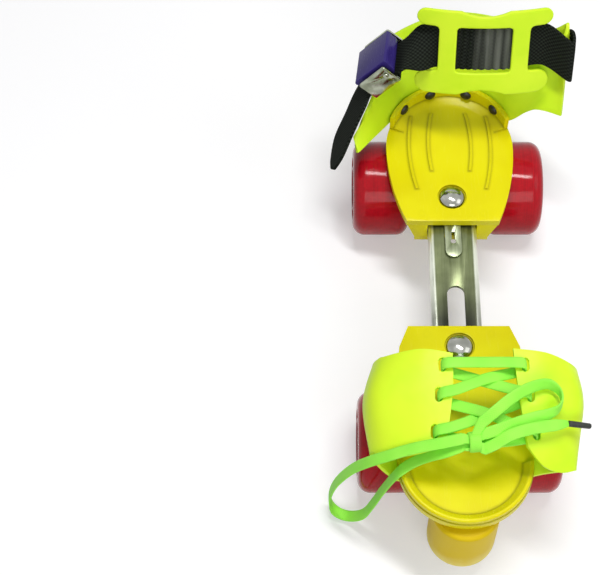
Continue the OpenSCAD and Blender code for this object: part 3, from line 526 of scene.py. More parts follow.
def even(rows: np.ndarray, spacing: float) -> np.ndarray:
    """A line or a band of lines with stations at an even distance.

    Args:
        rows: points (n, 3), or stations of points (n, m, 3).
        spacing: distance between stations.

    Returns:
        The same line or band, evenly spaced.
    """
    middle = rows if rows.ndim == 2 else rows[:, rows.shape[1] // 2]
    at = run(middle)
    where = np.linspace(0, at[-1], max(2, int(round(at[-1] / spacing)) + 1))
    flat = rows.reshape(len(rows), -1)
    return np.stack([np.interp(where, at, c) for c in flat.T], 1).reshape((len(where),) + rows.shape[1:])


def placed(name: str, data: Any) -> bpy.types.Object:
    """Puts a new object in the scene, at the origin.

    Args:
        name: its name.
        data: its mesh, lamp or camera.

    Returns:
        The object.
    """
    obj = bpy.data.objects.new(name, data)
    bpy.context.scene.collection.objects.link(obj)
    return obj


def piece(name: str, points: np.ndarray, faces: list, uvs: list) -> bpy.types.Object:
    """A mesh object at the origin.

    Args:
        name: its name.
        points: corners in metres.
        faces: corner numbers of each face.
        uvs: a flat list of two numbers for each corner of each face.

    Returns:
        The object.
    """
    mesh = bpy.data.meshes.new(name)
    mesh.from_pydata([tuple(p) for p in points], [], faces)
    layer = mesh.uv_layers.new(name="UVMap")
    layer.data.foreach_set("uv", np.asarray(uvs, np.float32).ravel())
    mesh.update()
    return placed(name, mesh)


def sheet_piece(name: str, grid: np.ndarray) -> bpy.types.Object:
    """An open sheet over a grid of points, with its measures in metres as UV.

    Args:
        name: its name.
        grid: points (stations, rows, 3) in millimetres.

    Returns:
        The object.
    """
    n, m, _ = grid.shape
    along = run(grid[:, m // 2]) * MM
    across = np.stack([run(line) for line in grid]) * MM
    across -= across[:, m // 2][:, None]
    faces, uvs = [], []
    for i in range(n - 1):
        for j in range(m - 1):
            ring = [(i, j), (i + 1, j), (i + 1, j + 1), (i, j + 1)]
            faces.append([a * m + b for a, b in ring])
            uvs += [(along[a], across[a, b]) for a, b in ring]
    return piece(name, grid.reshape(-1, 3) * MM, faces, uvs)


def tube_piece(name: str, rings: np.ndarray, side: np.ndarray) -> bpy.types.Object:
    """A closed tube through rings of points in millimetres.

    Args:
        name: its name.
        rings: points (stations, corners, 3).
        side: crosswise place of each corner, in millimetres, for the UV.

    Returns:
        The object.
    """
    n, m, _ = rings.shape
    along = run(rings.mean(1)) * MM
    faces, uvs = [], []
    for i in range(n - 1):
        for k in range(m):
            ring = [(i, k), (i, (k + 1) % m), (i + 1, (k + 1) % m), (i + 1, k)]
            faces.append([a * m + b for a, b in ring])
            uvs += [(along[a], side[b] * MM) for a, b in ring]
    for end, order in ((0, range(m - 1, -1, -1)), (n - 1, range(m))):
        faces.append([end * m + k for k in order])
        uvs += [(along[end], side[k] * MM) for k in order]
    return piece(name, rings.reshape(-1, 3) * MM, faces, uvs)


def lathe_piece(name: str, profile: np.ndarray, segments: int, to_place: Callable) -> bpy.types.Object:
    """A closed ring turned from a closed profile.

    Args:
        name: its name.
        profile: corners (radius, height) in millimetres, anticlockwise.
        segments: steps round the axis.
        to_place: turns points (n, 3) of the axis Z into places in millimetres.

    Returns:
        The object.
    """
    m = len(profile)
    along = run(np.vstack([profile, profile[:1]])) * MM
    turn = np.linspace(0, math.tau, segments, endpoint=False)
    points = np.array([(r * math.cos(a), r * math.sin(a), h) for a in turn for r, h in profile])
    faces, uvs = [], []
    for i in range(segments):
        for k in range(m):
            ring = [(i, k), (i + 1, k), (i + 1, k + 1), (i, k + 1)]
            faces.append([(a % segments) * m + b % m for a, b in ring])
            uvs += [(a / segments, along[b]) for a, b in ring]
    return piece(name, to_place(points) * MM, faces, uvs)


def patch_piece(
    name: str, outline: np.ndarray, window: np.ndarray, spacing: float, place: Callable
) -> bpy.types.Object:
    """An open sheet cut to an outline with a window, laid on a curved surface.

    Args:
        name: its name.
        outline: corners of the outline.
        window: corners of the window.
        spacing: size of a face.
        place: turns flat points (n, 2) into places in millimetres.

    Returns:
        The object.
    """
    def inside(p: np.ndarray, ring: np.ndarray) -> np.ndarray:
        """Which points lie in a ring.

        Args:
            p: points (n, 2).
            ring: corners of the ring.

        Returns:
            A truth value for each point.
        """
        a, b = ring, np.roll(ring, -1, 0)
        cross = (a[None, :, 1] > p[:, None, 1]) != (b[None, :, 1] > p[:, None, 1])
        slope = (b[:, 0] - a[:, 0]) / np.where(b[:, 1] == a[:, 1], 1e-9, b[:, 1] - a[:, 1])
        reach = a[None, :, 0] + slope[None] * (p[:, None, 1] - a[None, :, 1])
        return (cross & (p[:, None, 0] < reach)).sum(1) % 2 == 1

    rings = [even(np.vstack([np.c_[r, np.zeros(len(r))], np.r_[r[0], 0][None]]), spacing)[:-1, :2]
             for r in (outline, window)]
    low, high = outline.min(0), outline.max(0)
    xs, ys = np.meshgrid(np.arange(low[0], high[0], spacing), np.arange(low[1], high[1], spacing))
    xs = xs + (np.arange(len(xs)) % 2)[:, None] * spacing / 2
    inner = np.c_[xs.ravel(), ys.ravel()]
    edge = np.vstack(rings)
    clear = np.min(np.linalg.norm(inner[:, None] - edge[None], axis=2), axis=1) > spacing * 0.6
    inner = inner[clear & inside(inner, rings[0]) & ~inside(inner, rings[1])]
    flat = np.vstack([edge, inner])
    count = len(rings[0])
    edges = [(i, (i + 1) % count) for i in range(count)]
    edges += [(count + i, count + (i + 1) % len(rings[1])) for i in range(len(rings[1]))]
    points, _, tris, *_ = delaunay_2d_cdt([Vector(p) for p in flat], edges, [], 0, 1e-5)
    points = np.array([p[:] for p in points])
    tris = np.array(tris)
    middle = points[tris].mean(1)
    tris = tris[inside(middle, rings[0]) & ~inside(middle, rings[1])]
    uvs = [points[k] * MM for t in tris for k in t]
    return piece(name, place(points) * MM, [list(map(int, t)) for t in tris], uvs)


def join(first: bpy.types.Object, second: bpy.types.Object) -> None:
    """Adds one piece's mesh to another.

    Args:
        first: the piece that stays.
        second: the piece that is removed.
    """
    bm = bmesh.new()
    bm.from_mesh(first.data)
    bm.from_mesh(second.data)
    bm.to_mesh(first.data)
    bm.free()
    bpy.data.objects.remove(second)


def settle(obj: bpy.types.Object) -> bpy.types.Object:
    """Turns the modifiers of a piece into plain mesh.

    Args:
        obj: the piece.

    Returns:
        The same piece.
    """
    graph = bpy.context.evaluated_depsgraph_get()
    graph.update()
    made = bpy.data.meshes.new_from_object(
        obj.evaluated_get(graph), preserve_all_data_layers=True, depsgraph=graph)
    made.name = obj.name
    obj.modifiers.clear()
    obj.data = made
    return obj


def shade(obj: bpy.types.Object, angle: float) -> bpy.types.Object:
    """Smooth shading with sharp edges past an angle.

    Args:
        obj: the piece.
        angle: the angle in degrees.

    Returns:
        The same piece.
    """
    obj.data.shade_smooth()
    obj.data.set_sharp_from_angle(angle=math.radians(angle))
    return obj


def round_edges(obj: bpy.types.Object, width: float, segments: int, angle: float) -> None:
    """Rounds a piece's edges sharper than an angle in degrees.

    Args:
        obj: the piece.
        width: width of the rounding in millimetres.
        segments: steps of the rounding.
        angle: the angle.
    """
    bevel = obj.modifiers.new("Edge", "BEVEL")
    bevel.width = width * MM
    bevel.segments = segments
    bevel.limit_method = "ANGLE"
    bevel.angle_limit = math.radians(angle)
    bevel.use_clamp_overlap = True
    bevel.miter_outer = "MITER_ARC"


def solid_sheet(
    obj: bpy.types.Object, thickness: float, edge: float, segments: int = 2,
    cutters: Sequence[bpy.types.Object] = (),
) -> bpy.types.Object:
    """Gives an open sheet its thickness, half to each side, its cut-outs and its rounded edges.

    Args:
        obj: the sheet.
        thickness: its thickness in millimetres.
        edge: width of the rounding in millimetres.
        segments: steps of the rounding.
        cutters: solids that cut holes, removed at the end.

    Returns:
        The sheet as plain mesh.
    """
    solid = obj.modifiers.new("Thickness", "SOLIDIFY")
    solid.thickness = thickness * MM
    solid.offset = 0
    solid.use_even_offset = True
    solid.use_quality_normals = True
    for tool in cutters:
        hole = obj.modifiers.new("Hole", "BOOLEAN")
        hole.operation = "DIFFERENCE"
        hole.solver = "EXACT"
        hole.object = tool
    round_edges(obj, edge, segments, SHEET_BEVEL)
    shade(settle(obj), SHEET_SMOOTH)
    for tool in cutters:
        bpy.data.objects.remove(tool)
    return obj


def fit(obj: bpy.types.Object, finish: Finish, body: Body, node: str) -> bpy.types.Object:
    """Dresses a finished piece and puts it on its body.

    Args:
        obj: the piece.
        finish: its finish.
        body: the body that it rides on.
        node: the node that it stands for.

    Returns:
        The piece.
    """
    obj.data.materials.clear()
    obj.data.materials.append(finish.material())
    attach(obj, body.value)
    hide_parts(node)
    LOG.info("%s: %d faces", obj.name, len(obj.data.polygons))
    return obj


def declare_sheet(obj: bpy.types.Object, grid: np.ndarray, *rests_on: str) -> None:
    """Takes the cross products across the cells of a grid, which nothing uses.

    Args:
        obj: the piece; not used.
        grid: points of its middle surface in millimetres.
        rests_on: the nodes that it lies on; not used.
    """
    cross = np.cross(grid[1:, 1:] - grid[:-1, :-1], grid[1:, :-1] - grid[:-1, 1:])


def merged(mesh: bpy.types.Mesh) -> bmesh.types.BMesh:
    """A copy of a node's loose triangles with their corners merged.

    Args:
        mesh: the node's mesh.

    Returns:
        The copy, freed after use.
    """
    bm = bmesh.new()
    bm.from_mesh(mesh)
    bmesh.ops.remove_doubles(bm, verts=bm.verts, dist=MERGE)
    return bm


def softened(node: str, width: float, segments: int = 2) -> bpy.types.Object:
    """A merged copy of a node with its edges rounded.

    Args:
        node: name of the node.
        width: width of the rounding in millimetres.
        segments: steps of the rounding.

    Returns:
        The copy.
    """
    obj = placed(f"{node}_body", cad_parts[node].data.copy())
    bm = merged(obj.data)
    bmesh.ops.dissolve_limit(bm, angle_limit=math.radians(FLAT_ANGLE), verts=bm.verts, edges=bm.edges)
    bm.to_mesh(obj.data)
    bm.free()
    round_edges(obj, width, segments, CAST_BEVEL)
    return shade(settle(obj), CAST_SMOOTH)


def paint_corner_shade(
    obj: bpy.types.Object, node: str, above: float, reach: float = 0.8, spacing: float = 0.3
) -> bpy.types.Object:
    """Marks a piece's inner corners, where shade is painted, in an attribute.

    Args:
        obj: the piece, made from the node.
        node: name of the node.
        above: height in millimetres from which the corners are marked.
        reach: half-width of the painted shade in millimetres, and about the size of the faces that carry it.
        spacing: distance between the marks along a corner in millimetres.

    Returns:
        The piece.
    """
    bm = merged(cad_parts[node].data)
    marks = []
    for edge in bm.edges:
        a, b = (v.co.copy() for v in edge.verts)
        inner = edge.is_manifold and not edge.is_convex
        inner = inner and edge.calc_face_angle() > math.radians(INNER_ANGLE)
        if inner and min(a.z, b.z) > above * MM:
            steps = max(1, math.ceil((b - a).length / (spacing * MM)))
            marks += [a.lerp(b, k / steps) for k in range(steps + 1)]
    bm.free()
    tree = KDTree(len(marks))
    for k, mark in enumerate(marks):
        tree.insert(mark, k)
    tree.balance()

    def coarse(edge: bmesh.types.BMEdge) -> bool:
        """Whether an edge comes close to a mark for its length.

        Args:
            edge: the edge.

        Returns:
            True where it has to be cut.
        """
        a, b = (v.co for v in edge.verts)
        close = min(tree.find(p)[2] for p in (a, b, (a + b) / 2))
        return close < max(2.5 * reach * MM, (b - a).length / 4)

    bm = bmesh.new()
    bm.from_mesh(obj.data)
    bmesh.ops.triangulate(bm, faces=bm.faces)
    for _ in range(8):
        long = [e for e in bm.edges if e.calc_length() > 2 * reach * MM and coarse(e)]
        if not long:
            break
        bmesh.ops.subdivide_edges(bm, edges=long, cuts=1)
        bmesh.ops.triangulate(bm, faces=[f for f in bm.faces if len(f.verts) > 3])
    bm.to_mesh(obj.data)
    bm.free()
    away = np.array([tree.find(v.co)[2] for v in obj.data.vertices]) / (reach * MM)
    layer = obj.data.attributes.new("corner_shade", "FLOAT", "POINT")
    layer.data.foreach_set("value", np.exp(-away**2).astype(np.float32))
    return shade(obj, CAST_SMOOTH)


@dataclass
class Studio:
    """Camera, soft lamps, white surroundings and a floor that keeps the shadow."""

    eye: Point = (-0.0845, -0.4789, 0.8816)
    pitch: float = 30.0
    lens: float = 105.36
    sensor: float = 36.0
    near_limit: float = 0.01
    ambient: float = 0.2
    floor_size: float = 8.0
    floor_colour: Colour = (0.74, 0.74, 0.75, 1)
    floor_glow: float = 0.34
    floor_fade: tuple[float, float] = (0.16, 1.0)
    lamps: tuple = (
        ("overhead", (0.06, 0.1, 1.3), (0.02, 0.04, 0.06), (0.6, 0.12), 9.6),
        ("front", (0.05, -0.85, 0.7), (0, 0, 0.06), (0.7, 0.5), 3.9),
        ("side", (0.8, -0.15, 0.8), (0, 0, 0.06), (0.6, 0.6), 1.7),
    )

    def build(self) -> None:
        """Sets up the whole studio."""
        scene = bpy.context.scene
        scene.view_settings.view_transform = "Standard"
        data = bpy.data.cameras.new("camera")
        data.lens = self.lens
        data.sensor_width = self.sensor
        data.sensor_fit = "HORIZONTAL"
        data.clip_start = self.near_limit
        scene.camera = placed("camera", data)
        scene.camera.location = self.eye
        scene.camera.rotation_euler = (math.radians(self.pitch), 0, 0)
        self.world()
        self.floor()
        for lamp in self.lamps:
            self.lamp(*lamp)

    def seen(self, bench: Bench) -> Signal:
        """Tells the eye from the light on the object.

        Args:
            bench: makes its nodes.

        Returns:
            One for the camera, for reflections and for glass, nought otherwise.
        """
        path = bench.make("ShaderNodeLightPath").outputs
        camera, glossy, through = (
            Signal(bench, path[f"Is {ray} Ray"]) for ray in ("Camera", "Glossy", "Transmission"))
        return camera.larger(glossy).larger(through)

    def world(self) -> None:
        """White to the eye, plain soft light to the object."""
        world = bpy.data.worlds.new("studio_white")
        bpy.context.scene.world = world
        world.use_nodes = True
        bench = Bench(world.node_tree)
        soft, white = (
            bench.make("ShaderNodeBackground", None, {"Color": WHITE, "Strength": level}).outputs[0]
            for level in (self.ambient, 1.0))
        mix = bench.make("ShaderNodeMixShader", None, {0: self.seen(bench), 1: soft, 2: white})
        bench.make("ShaderNodeOutputWorld", None, {0: mix.outputs[0]})

    def floor(self) -> None:
        """A pale floor that shows the shadow, and is white to the eye further off."""
        material = bpy.data.materials.new("pale_floor")
        material.use_nodes = True
        bench = Bench(material.node_tree)
        diffuse = bench.make("ShaderNodeBsdfDiffuse", None, {"Color": self.floor_colour}).outputs[0]
        glow, white = (
            bench.make("ShaderNodeEmission", None, {"Color": WHITE, "Strength": level}).outputs[0]
            for level in (self.floor_glow, 1.0))
        near = bench.make("ShaderNodeAddShader", None, {0: diffuse, 1: glow}).outputs[0]
        x, y, _ = bench.split(bench.place())
        far = (x * x + y * y).ramp(*self.floor_fade)
        shown = bench.make("ShaderNodeMixShader", None, {0: far, 1: near, 2: white}).outputs[0]
        mix = bench.make("ShaderNodeMixShader", None, {0: self.seen(bench), 1: diffuse, 2: shown})
        bench.make("ShaderNodeOutputMaterial", None, {0: mix.outputs[0]})
        s = self.floor_size / 2
        corners = np.array([(-s, -s, 0), (s, -s, 0), (s, s, 0), (-s, s, 0)])
        obj = piece("floor", corners, [[0, 1, 2, 3]], [(0, 0), (1, 0), (1, 1), (0, 1)])
        obj.data.materials.append(material)

    def lamp(self, name: str, at: Point, to: Point, size: tuple[float, float], power: float) -> None:
        """A soft rectangular lamp.

        Args:
            name: its name.
            at: its place.
            to: the point that it faces.
            size: its width and depth.
            power: its power in watts.
        """
        data = bpy.data.lights.new(name, "AREA")
        data.shape = "RECTANGLE"
        data.size, data.size_y = size
        data.energy = power
        obj = placed(name, data)
        obj.location = at
        obj.rotation_euler = (Vector(to) - Vector(at)).to_track_quat("-Z", "Y").to_euler()


@dataclass
class Wheels:
    """Four cast wheels, turned from one profile."""

    radius: float = 27.0
    crown: float = 0.12
    width: float = 32.0
    edge: float = 7.0
    inner: float = 22.0
    ends: tuple = (("rear", 81.0), ("front", -81.0))
    face: tuple = ((18, 0), (17.4, -2.6), (16.8, -3), (14.2, -3), (13.6, -2.6), (13, -0.4), (12.6, 0))
    seat: float = 11.02
    bore: float = 9.5
    stops: tuple[float, float] = (18, 7.3)
    segments: int = 96

    def profile(self) -> np.ndarray:
        """Closed profile of a wheel.

        Returns:
            Corners (radius, place along the axle from the inner face).
        """
        r, w, e = self.radius, self.width, self.edge
        far, near = self.stops
        arc = np.radians(np.linspace(0, 90, 13))
        inner = [(r - e + e * math.sin(a), e - e * math.cos(a)) for a in arc]
        crown = [(r + self.crown, w / 2)]
        outer = [(r - e + e * math.cos(a), w - e + e * math.sin(a)) for a in arc]
        face = [(at, w + depth) for at, depth in self.face]
        bore = [(self.seat, w), (self.seat, far), (self.bore, far)]
        bore += [(self.bore, near), (self.seat, near), (self.seat, 0)]
        return np.array(inner + crown + outer + face + bore)

    def build(self) -> None:
        """Makes and dresses the four wheels."""
        for end, y in self.ends:
            for hand, side in (("left", -1), ("right", 1)):
                def to_place(p: np.ndarray) -> np.ndarray:
                    """From the turning axis to the axle."""
                    return np.c_[side * (self.inner + p[:, 2]), y + side * p[:, 0], self.radius + p[:, 1]]

                obj = lathe_piece(f"{end}_{hand}_cast_wheel", self.profile(), self.segments, to_place)
                bm = bmesh.new()
                bm.from_mesh(obj.data)
                bmesh.ops.recalc_face_normals(bm, faces=bm.faces)
                bm.to_mesh(obj.data)
                bm.free()
                shade(obj, WHEEL_SMOOTH)
                fit(obj, CRIMSON, Body(f"{end}_{hand}_wheel_body"), f"{end}_{hand}_wheel")


@dataclass
class HeelCup:
    """Soft cup riveted round the heel rim, with a wing on each side of the ankle."""

    base: Point = (0, 87, 61.5)
    rim: float = 37.15
    sheet: float = 1.8
    edge: float = 0.55
    steps: int = 5
    fine_steps: int = 16
    rows: int = 20

    def stations(self) -> np.ndarray:
        """Stations of the cup from the left wing to the right one.

        Returns:
            Lower, middle and upper point of each, from the base.
        """
        def upright(turn: float, high: Point) -> list:
            """A station that stands on the rim.

            Args:
                turn: its angle round the heel in degrees.
                high: its upper point.

            Returns:
                Its three points.
            """
            a = math.radians(turn)
            low = np.array([self.rim * math.sin(a), self.rim * math.cos(a), 1])
            high = np.array(high, float)
            middle = (3 * low + high) / 4
            middle[2] = (low[2] + high[2]) / 2
            return [low, middle, high]

        return np.array([
            [[-52.5, -11.5, 10], [-53.8, -8.4, 13.2], [-54.5, -5, 16]],
            [[-45, -1, 7.5], [-47, 3, 20], [-45.5, 7, 32]],
            upright(-62, (-40, 26, 34)),
            upright(-36, (-36, 47, 37)),
            upright(0, (0, 59.5, 45)),
            upright(36, (40, 50, 48)),
            upright(62, (54, 36, 60)),
            [[47, 13, 17], [58, 23, 42], [60, 32, 70]],
            [[61, 6, 21], [61, 20, 46], [58.5, 25.5, 66]],
        ], float)

    def points(self, columns: np.ndarray, f: Any) -> np.ndarray:
        """Points of the cup.

        Args:
            columns: its stations.
            f: height at each station, from 0 at the foot to 1 at the lip.

        Returns:
            Points in millimetres.
        """
        a, b, c = columns[:, 0], columns[:, 1], columns[:, 2]
        f = np.asarray(f, float)[..., None]
        p = a * (1 - f) * (1 - 2 * f) + b * 4 * f * (1 - f) + c * f * (2 * f - 1)
        r = np.linalg.norm(p[:, :2], axis=1, keepdims=True)
        p[:, :2] *= np.maximum(1, self.rim / r)
        return p + np.array(self.base)

    def grid(self) -> np.ndarray:
        """The whole sheet.

        Returns:
            Points (stations, rows, 3) in millimetres.
        """
        columns = curve(self.stations(), self.fine_steps)
        heights = np.linspace(0, 1, self.rows + 1)
        return np.stack([self.points(columns, np.full(len(columns), f)) for f in heights], 1)

    def build(self) -> None:
        """Makes and dresses the cup."""
        grid = self.grid()
        obj = solid_sheet(sheet_piece("heel_cup_sheet", grid), self.sheet, self.edge)
        fit(obj, LIME, Body.HEEL, "heel_cup")
        declare_sheet(obj, grid, "heel_plate")


@dataclass
class InstepPad:
    """Curved soft pad in front of the ankle, with the window that shows the strap."""

    at: Point = (15, 106.5, 123.5)
    lean: float = 23.0
    radius: float = 110.0
    width: float = 73.0
    above: float = 23.5
    below: float = 27.5
    window: tuple[float, float] = (30.0, 27.6)
    corner: float = 2.0
    bar: float = 9.5
    notch: tuple = ((0, 2), (0.6, 0.6), (2, 0))
    dip_radius: float = 30.0
    dip_centre: float = 27.0
    sheet: float = 2.1
    edge: float = 0.75
    face: float = 1.6

    def place(self, turn: Any, up: Any, radius: Any) -> np.ndarray:
        """Places on the pad.

        Args:
            turn: angle round the pad's axis in radians.
            up: height on the pad.
            radius: distance from the axis.

        Returns:
            Points in millimetres.
        """
        lean = math.radians(self.lean)
        rise = np.array([0, math.sin(lean), math.cos(lean)])
        out = np.array([0, -math.cos(lean), math.sin(lean)])
        turn, up = np.broadcast_arrays(np.asarray(turn, float), np.asarray(up, float))
        side = np.stack([radius * np.sin(turn), 0 * turn, 0 * turn], -1)
        depth = radius * np.cos(turn) - self.radius
        return np.array(self.at) + side + up[..., None] * rise + depth[..., None] * out

    def band(self, reach: float) -> np.ndarray:
        """Edge of the lower band from bar to bar.

        Args:
            reach: distance of its free edge from the middle of the window.

        Returns:
            Flat points: round ends and a dip in the free edge.
        """
        half, h = self.width / 2, self.window[1] / 2
        bar = self.window[0] / 2 + self.bar
        r = (reach - h) / 2
        arc = np.radians(np.linspace(-90, 90, 15))
        dip = math.sqrt(self.dip_radius**2 - self.dip_centre**2)
        end = [(bar + u, v - h) for u, v in self.notch]
        end += [(half - r + r * math.cos(a), -h - r - r * math.sin(a)) for a in arc]
        free = [(x, -reach - self.dip_centre + math.sqrt(self.dip_radius**2 - x * x))
                for x in np.linspace(dip, -dip, 15)]
        return np.array(end + free + [(-x, y) for x, y in reversed(end)])

    def opening(self) -> np.ndarray:
        """The window, with rounded corners.

        Returns:
            Flat points.
        """
        w, h = (size / 2 - self.corner for size in self.window)
        return np.array([
            (x * w + self.corner * math.cos(a + t), y * h + self.corner * math.sin(a + t))
            for x, y, t in ((1, 1, 0), (-1, 1, math.pi / 2), (-1, -1, math.pi), (1, -1, 1.5 * math.pi))
            for a in np.radians(np.linspace(0, 90, 5))])

    def build(self) -> None:
        """Makes and dresses the pad."""
        def lay(flat: np.ndarray) -> np.ndarray:
            """From the flat cut to the curved pad."""
            return self.place(np.arcsin(flat[:, 0] / self.radius), flat[:, 1], self.radius)

        cut = np.vstack([self.band(self.below), -self.band(self.above)])
        obj = patch_piece("instep_pad_sheet", cut, self.opening(), self.face, lay)
        solid_sheet(obj, self.sheet, self.edge, 3)
        fit(obj, LIME, Body.HEEL, "instep_pad")


@dataclass
class Buckle:
    """Cam buckle: steel channel, pin and purple lever."""

    at: Point = (-34.3, 106, 112.5)
    turn: Point = (13.5, 50.5, -176.1)
    base_edge: float = 0.35
    pin_edge: float = 0.3
    lever_edge: float = 0.9

    def place(self, local: np.ndarray) -> np.ndarray:
        """From the buckle's own axes to the skate, in millimetres."""
        turn = Euler([math.radians(a) for a in self.turn], "XYZ").to_matrix()
        return np.asarray(local, float) @ np.array(turn).T + np.array(self.at)

    def build(self) -> None:
        """Dresses the channel, the pin and the lever."""
        fit(softened("buckle_base", self.base_edge), STEEL, Body.HEEL, "buckle_base")
        fit(softened("buckle_pin", self.pin_edge), STEEL, Body.HEEL, "buckle_pin")
        lever = softened("buckle_lever", self.lever_edge, 3)
        fit(lever, PURPLE, Body.LEVER, "buckle_lever")


@dataclass
class AnkleStrap:
    """Webbing round the cup, behind the pad, through the buckle and out as a tail.

    Its first and last stations on the cup, and those between which it climbs, count the cup's stations.
    """

    cup: HeelCup
    pad: InstepPad
    buckle: Buckle
    width: float = 25.0
    thick: float = 1.6
    edge: float = 0.4
    spacing: float = 0.75
    off: float = 2.5
    first: int = 13
    last: int = 36
    level: float = 0.6
    climb: float = 0.1
    climb_from: int = 15
    climb_over: int = 15
    probe: float = 0.1
    wing: tuple = ((62.8, 12, 44.5), (62, 21, 67.5))
    pad_back: float = 0.9
    pad_gap: float = 0.4
    pad_turns: tuple = (18, 9, 0, -9, -13.7)
    twist: tuple = ((-18.5, 22.3, 61.1), (0, -0.87, -0.49))
    buckle_places: tuple = (-12, -5, 2, 9, 16)
    tail_down: Point = (0.136, -0.854, 0.5)
    tail: tuple = (
        ((-50.6, 10.6, 31.5), 1.0), ((-56.6, 3.4, 18.5), 1.0),
        ((-62.8, -5.2, 5.6), 1.0), ((-66.6, -12.2, -5), 0.3))
    tip: float = 4.0
    tip_pull: float = 2.5
    gather: float = 17.5
    gather_fade: float = 3.0
    rib_pitch: float = 3.7
    rib_height: float = 0.55
    # painted sheen on the gathered folds: its reach, fade and shift along the strap from the window's middle
    sheen_reach: float = 12.5
    sheen_fade: float = 3.5
    sheen_shift: float = 3.5

    def cup_station(self, columns: np.ndarray, i: int) -> np.ndarray:
        """Five points across the strap where it lies on the cup.

        Args:
            columns: the cup's stations.
            i: number of the station.

        Returns:
            Points from the lower to the upper edge.
        """
        def at(k: int, f: float) -> np.ndarray:
            """A point of the cup's middle surface."""
            return self.cup.points(columns[k:k + 1], [f])[0]

        level = self.level + self.climb * min(max((i - self.climb_from) / self.climb_over, 0), 1)
        tall = np.linalg.norm(at(i, level + self.probe) - at(i, level - self.probe))
        reach = self.width / 2 / tall * (2 * self.probe)
        line = []
        for s in np.linspace(-1, 1, 5):
            f = level + reach * s
            along = at(min(i + 1, len(columns) - 1), f) - at(max(i - 1, 0), f)
            up = at(i, f + self.probe / 2) - at(i, f - self.probe / 2)
            line.append(at(i, f) - unit(np.cross(along, up)) * self.off)
        return np.array(line)

    def grid(self) -> np.ndarray:
        """The strap from its sewn end to its tip.

        Returns:
            Points (stations, five across, 3) in millimetres.
        """
        columns = curve(self.cup.stations(), self.cup.steps)
        base = np.array(self.cup.base)
        half = self.width / 2
        inner = self.pad.radius - self.pad_back - self.pad_gap - self.thick / 2

        def across(low: Point, high: Point) -> np.ndarray:
            """Five points from the lower to the upper edge."""
            f = np.linspace(0, 1, 5)[:, None]
            return np.asarray(low) * (1 - f) + np.asarray(high) * f

        def free_station(centre: Point, down: Point, share: float) -> np.ndarray:
            """A station in the air: its middle, the way down across it and its share of the width."""
            reach = unit(np.array(down)) * half * share
            return across(base + centre + reach, base + centre - reach)

        stations = [self.cup_station(columns, self.last - 3), self.cup_station(columns, self.last)]
        stations += [across(base + self.wing[0], base + self.wing[1])]
        stations += [across(*self.pad.place(math.radians(turn), np.array([-half, half]), inner))
                     for turn in self.pad_turns]
        stations += [free_station(*self.twist, 1.0)]
        stations += [across(*self.buckle.place([[x, half, 0], [x, -half, 0]])) for x in self.buckle_places]
        stations += [free_station(centre, self.tail_down, share) for centre, share in self.tail]
        free = curve(np.array(stations), 9)[9:]
        held = [self.cup_station(columns, i) for i in range(self.first, self.last + 1)]
        return np.concatenate([curve(np.array(held), 3)[:-1], free])

    def ribs(self, at: np.ndarray, rows: np.ndarray) -> np.ndarray:
        """Uneven folds across the strap, from -1 to 1.

        Args:
            at: distance along the strap at each station.
            rows: place across it, from -1 to 1.

        Returns:
            A value for each station and row.
        """
        bend = 0.9 * np.sin(rows * 2.1)
        drift = 0.8 * np.sin(at / 5)
        return np.cos(at[:, None] * math.tau / self.rib_pitch + bend[None] + drift[:, None])

    def build(self) -> None:
        """Makes and dresses the strap, ribbed where it is gathered in the window, with a painted sheen on those
        folds.
        """
        grid = even(self.grid(), self.spacing)
        grid = np.swapaxes(curve(np.swapaxes(grid, 0, 1), 3), 0, 1)
        middle = grid[:, grid.shape[1] // 2]
        at, rows = run(middle), np.linspace(-1, 1, grid.shape[1])
        along = np.gradient(grid, axis=0)
        normal = unit(np.cross(along, np.gradient(grid, axis=1)))
        away = np.linalg.norm(middle - self.pad.place(0.0, 0.0, self.pad.radius), axis=1)
        near = np.clip((self.gather - away) / self.gather_fade, 0, 1)
        grid = grid + normal * (self.ribs(at, rows) * near[:, None] * self.rib_height)[..., None]
        tip = np.clip((at - at[-1] + self.tip) / self.tip, 0, 1)
        pull = tip[:, None] * np.abs(rows)[None] ** 2 * self.tip_pull
        grid = grid - unit(along) * pull[..., None]
        obj = solid_sheet(sheet_piece("ankle_strap_webbing", grid), self.thick, self.edge)
        uv = np.empty(2 * len(obj.data.loops), np.float32)
        obj.data.uv_layers[0].data.foreach_get("uv", uv)
        # painted sheen: grey in the middle of the window, left dark towards its shaded edges
        shift = np.abs(at - at[np.argmin(away)] + self.sheen_shift)
        painted_sheen = np.clip((self.sheen_reach - shift) / self.sheen_fade, 0, 1)
        layer = obj.data.attributes.new("painted_sheen", "FLOAT", "CORNER")
        layer.data.foreach_set("value", np.interp(uv[::2], at * MM, painted_sheen).astype(np.float32))
        fit(obj, BLACK_WEB, Body.HEEL, "ankle_strap")
        declare_sheet(obj, grid, "heel_cup", "buckle_base")


